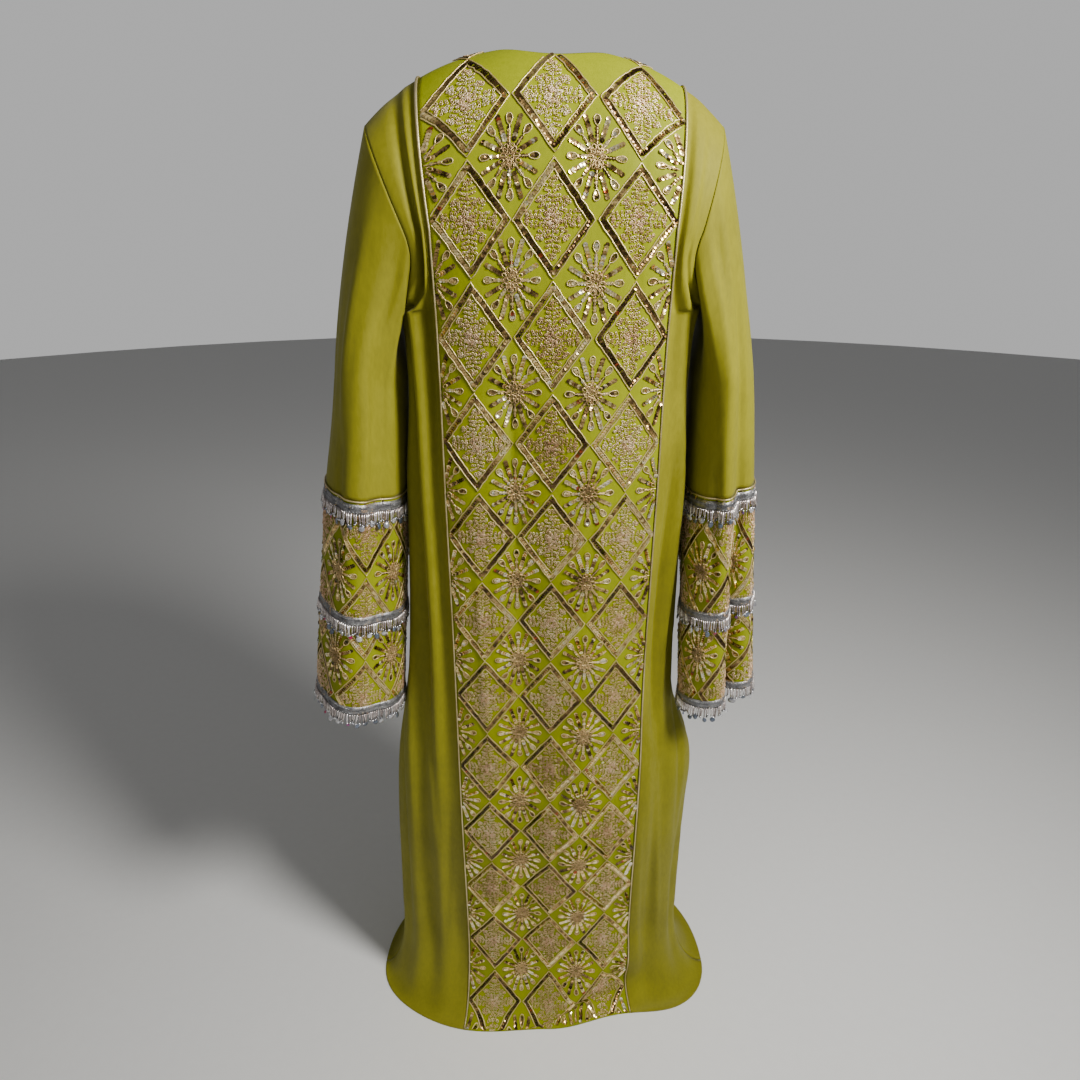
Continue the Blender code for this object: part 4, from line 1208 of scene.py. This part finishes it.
for word, ground, diamonds, flowers, inside in FIELDS:
    centres = np.array(flowers)
    centres = centres + SEED.normal(0, 0.0007, centres.shape)
    for part_name, drawn in (("oval", ovals), ("stem", stems)):
        paths = (centres[:, None, None] + drawn[None]).reshape(-1, drawn.shape[1], 2)
        paths = paths + SEED.normal(0, 0.00018, paths.shape)
        if part_name == "oval":
            paths[:, -1] = paths[:, 0]
        cord = threads(f"{part_name}_{word}", ground, paths, CORD_RADIUS * 0.92, CORD_RADIUS, 4, inside(paths))
        finished(f"flower_{part_name}s_{word}", cord, GOLD_CORD, "embroidered_crepe")
    rows = over_field(ray_sequins, centres)
    rows = rows[inside(rows[:, :2])]
    n = len(rows)
    # Groups of ray sequins share a tone from dark to bright: painted reflection, as each group meets the light at its
    # own angle. The rare tone of 1.0 is copper foil.
    reflection_groups = np.repeat(SEED.uniform(0.35, 0.85, len(centres) * 4), math.ceil(n / (len(centres) * 4)))[:n]
    tones = np.clip(reflection_groups + SEED.normal(0, 0.22, n), 0, 0.97)
    tones = np.where(SEED.random(n) < 0.008, 1.0, tones)
    sequins = set_out(
        f"rays_{word}", ground, SEQUIN, rows[:, :2], rows[:, 2] + SEED.normal(0, 0.1, n), rows[:, 3], 0.0011,
        SEED.normal(0.18, 0.12, n), tones, SEED.normal(0, 0.12, n),
    )
    finished(f"flower_sequins_{word}", sequins, SEQUIN_FOIL_AND_REFLECTION, "embroidered_crepe")
    rows = over_field(hearts, centres)
    rows = rows[inside(rows[:, :2])]
    n = len(rows)
    loops = set_out(
        f"hearts_{word}", ground, LOOP, rows[:, :2], rows[:, 2] + SEED.normal(0, 0.08, n),
        rows[:, 3] * SEED.uniform(0.92, 1.06, n), SEED.uniform(0.0012, 0.0020, n), SEED.normal(0.0, 0.06, n),
    )
    finished(f"flower_hearts_{word}", loops, GOLD_LOOPS, "embroidered_crepe")

# The cuff trims: a woven silver braid with a close fringe of bugle beads, each strand ended by a round
# silver bead, and coin paillettes hung below. Three go round each cuff, sewn over its embroidery.

TRIM_TOPS = {"top": -0.474, "middle": -0.632, "bottom": -0.772}
BRAID_HEIGHT = 0.013
BRAID_THICK = 0.0012
STRAND_STEP = 0.0034
LINK_STEP = 0.0046
BUGLE_LENGTH = 0.010
BUGLE_LIFT = 0.0024
BEAD_LIFT = 0.0030
COIN_LIFT = 0.0034
SCALLOP_STRANDS = 6.0
COIN_EVERY = 4


def silver_braid():
    """Woven silver thread gone grey, with fine diagonal strands."""
    made, shader, start = finish_of("silver_braid", (0.4, 0.4, 0.41, 1), Metallic=0.8, Roughness=0.38)
    place = start.add("ShaderNodeTexCoord", output=3)
    strands = start.noise(place, 900.0, 2.0, 0.6)
    patches = start.noise(place, 120.0, 2.0, 0.5)
    tone = (strands * 0.7 + patches * 0.5).between(0.38, 0.82)
    feed(start, shader, Base_Color=start.mixed(tone, (0.022, 0.021, 0.026, 1), (0.50, 0.50, 0.51, 1)))
    feed(start, shader, Roughness=strands * 0.35 + 0.2)
    feed(start, shader, Normal=start.bump(strands, 0.6, 0.0005))
    return made


def bead_finish(name, stops, metallic, roughness):
    """Beads and paillettes: each has a tone of its own, with small scuffs in its shine."""
    made, shader, start = finish_of(name, stops[-1][1], Metallic=metallic, Roughness=roughness, Coat_Weight=0.5)
    tone = start.add("ShaderNodeAttribute", {"attribute_name": "tone"}, output=2)
    place = start.add("ShaderNodeTexCoord", output=3)
    scuffs = start.noise(place, 700.0, 2.0, 0.5)
    colour = start.add("ShaderNodeValToRGB", {"stops": stops}, {0: tone})
    feed(start, shader, Base_Color=colour)
    feed(start, shader, Roughness=scuffs * 0.2 + (roughness - 0.08))
    feed(start, shader, Normal=start.bump(scuffs, 0.15, 0.0003))
    return made


SILVER_BRAID = silver_braid()
BUGLE_GLASS = bead_finish(
    "bugle_glass", [(0.0, (0.12, 0.10, 0.10, 1)), (0.5, (0.50, 0.43, 0.41, 1)), (1.0, (0.88, 0.84, 0.82, 1))], 0.7, 0.22
)
ROUND_SILVER = bead_finish(
    "round_silver", [(0.0, (0.10, 0.10, 0.12, 1)), (0.5, (0.42, 0.42, 0.45, 1)), (1.0, (0.90, 0.90, 0.92, 1))], 0.9, 0.2
)
COIN_STOPS = [
    (0.0, (0.34, 0.34, 0.37, 1)),
    (0.48, (0.85, 0.85, 0.87, 1)),
    (0.52, (0.09, 0.11, 0.15, 1)),
    (0.80, (0.22, 0.26, 0.34, 1)),
    (0.84, (0.42, 0.005, 0.09, 1)),
    (0.92, (0.50, 0.01, 0.12, 1)),
    (0.95, (0.02, 0.08, 0.32, 1)),
    (1.0, (0.03, 0.12, 0.42, 1)),
]
COIN_FOIL = bead_finish("coin_foil", COIN_STOPS, 0.6, 0.24)


def rod_shape(radius, length, sides):
    """An upright bead that hangs from the origin along Y."""
    mesh = bmesh.new()
    bmesh.ops.create_cone(
        mesh, cap_ends=True, cap_tris=False, segments=sides, radius1=radius, radius2=radius, depth=length
    )
    bmesh.ops.rotate(mesh, verts=mesh.verts, cent=(0, 0, 0), matrix=Matrix.Rotation(math.pi / 2, 3, "X"))
    bmesh.ops.translate(mesh, verts=mesh.verts, vec=(0, length / 2, 0))
    bmesh.ops.recalc_face_normals(mesh, faces=mesh.faces)
    return shape_of(mesh)


def ball_shape(radius):
    mesh = bmesh.new()
    bmesh.ops.create_uvsphere(mesh, u_segments=7, v_segments=5, radius=radius)
    bmesh.ops.translate(mesh, verts=mesh.verts, vec=(0, radius, 0))
    return shape_of(mesh)


def coin_shape(radius, thick):
    mesh = bmesh.new()
    bmesh.ops.create_cone(
        mesh, cap_ends=True, cap_tris=False, segments=14, radius1=radius, radius2=radius * 0.94, depth=thick
    )
    bmesh.ops.translate(mesh, verts=mesh.verts, vec=(0, radius, 0))
    return shape_of(mesh)


BUGLE = rod_shape(0.00090, BUGLE_LENGTH, 6)
BALL = ball_shape(0.00170)
COIN = coin_shape(0.0042, 0.0004)
LINK = loop_shape(0.0062, 0.0046, 0.0011)

for word, side in SIDES.items():
    ground = CUFF_GROUNDS[side]
    round_it = ground.across[-1]
    layers = []
    links, link_turns = [], []
    rods, rod_sizes, balls, coins = [], [], [], []
    for top in TRIM_TOPS.values():
        down = CUFF_Z - SEAM_GAP / 2 - top
        turn = np.linspace(0, round_it, 145)
        grid = np.zeros((4, len(turn), 3))
        grid[..., 0] = turn
        grid[..., 1] = down + np.linspace(0, BRAID_HEIGHT, 4)[:, None]
        grid[..., 2] = LAID_GAP + BRAID_THICK * np.array([0.7, 1, 1, 0.7])[:, None]
        low = grid.copy()
        low[..., 2] = LAID_GAP
        outer, inner = ground.laid(grid), ground.laid(low)
        closed_round(outer, inner)
        layers.append(cloth_mesh(outer, inner, True))
        for row, (place, lean) in enumerate(((0.0028, 0.5), (0.0065, -0.5), (0.0102, 0.5))):
            at = np.arange(0, round_it - LINK_STEP / 2, LINK_STEP) + row * LINK_STEP / 2
            links.append(np.stack([at, np.full(len(at), down + place)], axis=-1))
            link_turns.append(np.full(len(at), lean) + SEED.normal(0, 0.1, len(at)))
        at = np.arange(0, round_it - STRAND_STEP / 2, STRAND_STEP)
        scallop = np.abs(np.sin(np.arange(len(at)) * math.pi / SCALLOP_STRANDS))
        length = 0.0095 + 0.0042 * scallop + SEED.normal(0, 0.0004, len(at))
        start_down = down + BRAID_HEIGHT - 0.0015
        rods.append(np.stack([at, np.full(len(at), start_down)], axis=-1))
        rod_sizes.append(length)
        balls.append(np.stack([at, start_down + length], axis=-1))
        picked = np.arange(len(at)) % COIN_EVERY == 2
        coins.append(np.stack([at, start_down + length + 0.0022], axis=-1)[picked])
    braid = bpy.data.meshes.new(f"braid_{word}")
    joined = bmesh.new()
    for layer in layers:
        layer.to_mesh(braid)
        layer.free()
        joined.from_mesh(braid)
    nodes = [f"trim_{word}_{place}" for place in TRIM_TOPS]
    finished(f"braid_band_{word}", joined, SILVER_BRAID, "beaded_braid", *nodes)
    links, link_turns = np.concatenate(links), np.concatenate(link_turns)
    relief = set_out(f"links_{word}", ground, LINK, links, link_turns, 1.0, LAID_GAP + BRAID_THICK, 0.0)
    finished(f"braid_links_{word}", relief, SILVER_BRAID, "beaded_braid")
    rods, rod_sizes = np.concatenate(rods), np.concatenate(rod_sizes)
    n = len(rods)
    hang = SEED.normal(0, 0.09, n)
    fringe = set_out(
        f"bugles_{word}", ground, BUGLE, rods, hang, rod_sizes / BUGLE_LENGTH, BUGLE_LIFT,
        0.0, SEED.uniform(0.2, 0.95, n), SEED.normal(0.06, 0.04, n),
    )
    finished(f"bugle_fringe_{word}", fringe, BUGLE_GLASS, "beaded_braid")
    balls = np.concatenate(balls)
    balls[:, 0] -= np.sin(hang) * rod_sizes
    sizes = SEED.uniform(0.85, 1.1, n)
    beads = set_out(f"balls_{word}", ground, BALL, balls, 0 * hang, sizes, BEAD_LIFT, 0.0, SEED.random(n))
    finished(f"round_beads_{word}", beads, ROUND_SILVER, "beaded_braid")
    coins = np.concatenate(coins)
    m = len(coins)
    coin_tones = SEED.random(m)
    sizes = np.where(coin_tones > 0.82, 0.55, SEED.uniform(0.85, 1.05, m))
    paillettes = set_out(
        f"coins_{word}", ground, COIN, coins, SEED.normal(0, 0.35, m), sizes, COIN_LIFT,
        SEED.normal(0, 0.25, m), coin_tones, SEED.normal(0.05, 0.15, m),
    )
    finished(f"coin_paillettes_{word}", paillettes, COIN_FOIL, "beaded_braid")

# The camera stands behind and a little above, pitched down. A pale floor, a soft key light close by at the
# upper right, a broad weak fill on the left, and a pale room that is brightest near the horizon.

camera_data = bpy.data.cameras.new("camera")
camera_data.lens = 24.27
camera_data.sensor_width = 36
camera = bpy.data.objects.new("camera", camera_data)
camera.location = (-0.015, -0.962, -0.16)
camera.rotation_euler = (math.radians(67), 0, 0)
bpy.context.scene.collection.objects.link(camera)
bpy.context.scene.camera = camera

floor_mesh = bmesh.new()
bmesh.ops.create_circle(floor_mesh, cap_ends=True, radius=9, segments=64)
floor_data = bpy.data.meshes.new("floor")
floor_mesh.to_mesh(floor_data)
floor_mesh.free()
floor_data.transform(Matrix.Translation((0, 0, FLOOR_Z)))
floor = bpy.data.objects.new("floor", floor_data)
bpy.context.scene.collection.objects.link(floor)
pale, shader, start = finish_of("pale_floor", (0.88, 0.88, 0.87, 1), Roughness=0.7)
grain = start.noise(start.add("ShaderNodeTexCoord", output=3), 60.0, 3.0, 0.6)
feed(start, shader, Base_Color=start.mixed(grain, (0.86, 0.86, 0.85, 1), (0.90, 0.90, 0.89, 1)))
feed(start, shader, Normal=start.bump(grain, 0.1, 0.0005))
floor_data.materials.append(pale)


def area_light(name, place, aim, size, power, colour):
    data = bpy.data.lights.new(name, "AREA")
    data.shape = "DISK"
    data.size = size
    data.energy = power
    data.color = colour
    light = bpy.data.objects.new(name, data)
    light.location = place
    light.rotation_euler = (Vector(aim) - Vector(place)).to_track_quat("-Z", "Y").to_euler()
    bpy.context.scene.collection.objects.link(light)


area_light("key", (0.92, -0.78, 0.55), (0.02, -0.10, -0.20), 0.45, 50, (1.0, 0.98, 0.94))
area_light("fill", (-2.2, -1.8, 0.6), (0, 0, -0.7), 2.2, 4, (1.0, 0.96, 0.90))
world = bpy.data.worlds.new("soft_room")
world.use_nodes = True
room = Shade(world.node_tree)
direction = room.add("ShaderNodeTexCoord", output=0)
height = room.add("ShaderNodeSeparateXYZ", None, {0: direction}, output=2)
strength = room.add("ShaderNodeMapRange", None, {0: height, 1: 0.24, 2: 0.40, 3: 0.50, 4: 0.10})
world.node_tree.links.new(strength.socket, world.node_tree.nodes["Background"].inputs["Strength"])
world.node_tree.nodes["Background"].inputs["Color"].default_value = (1.0, 1.0, 1.0, 1)
bpy.context.scene.world = world
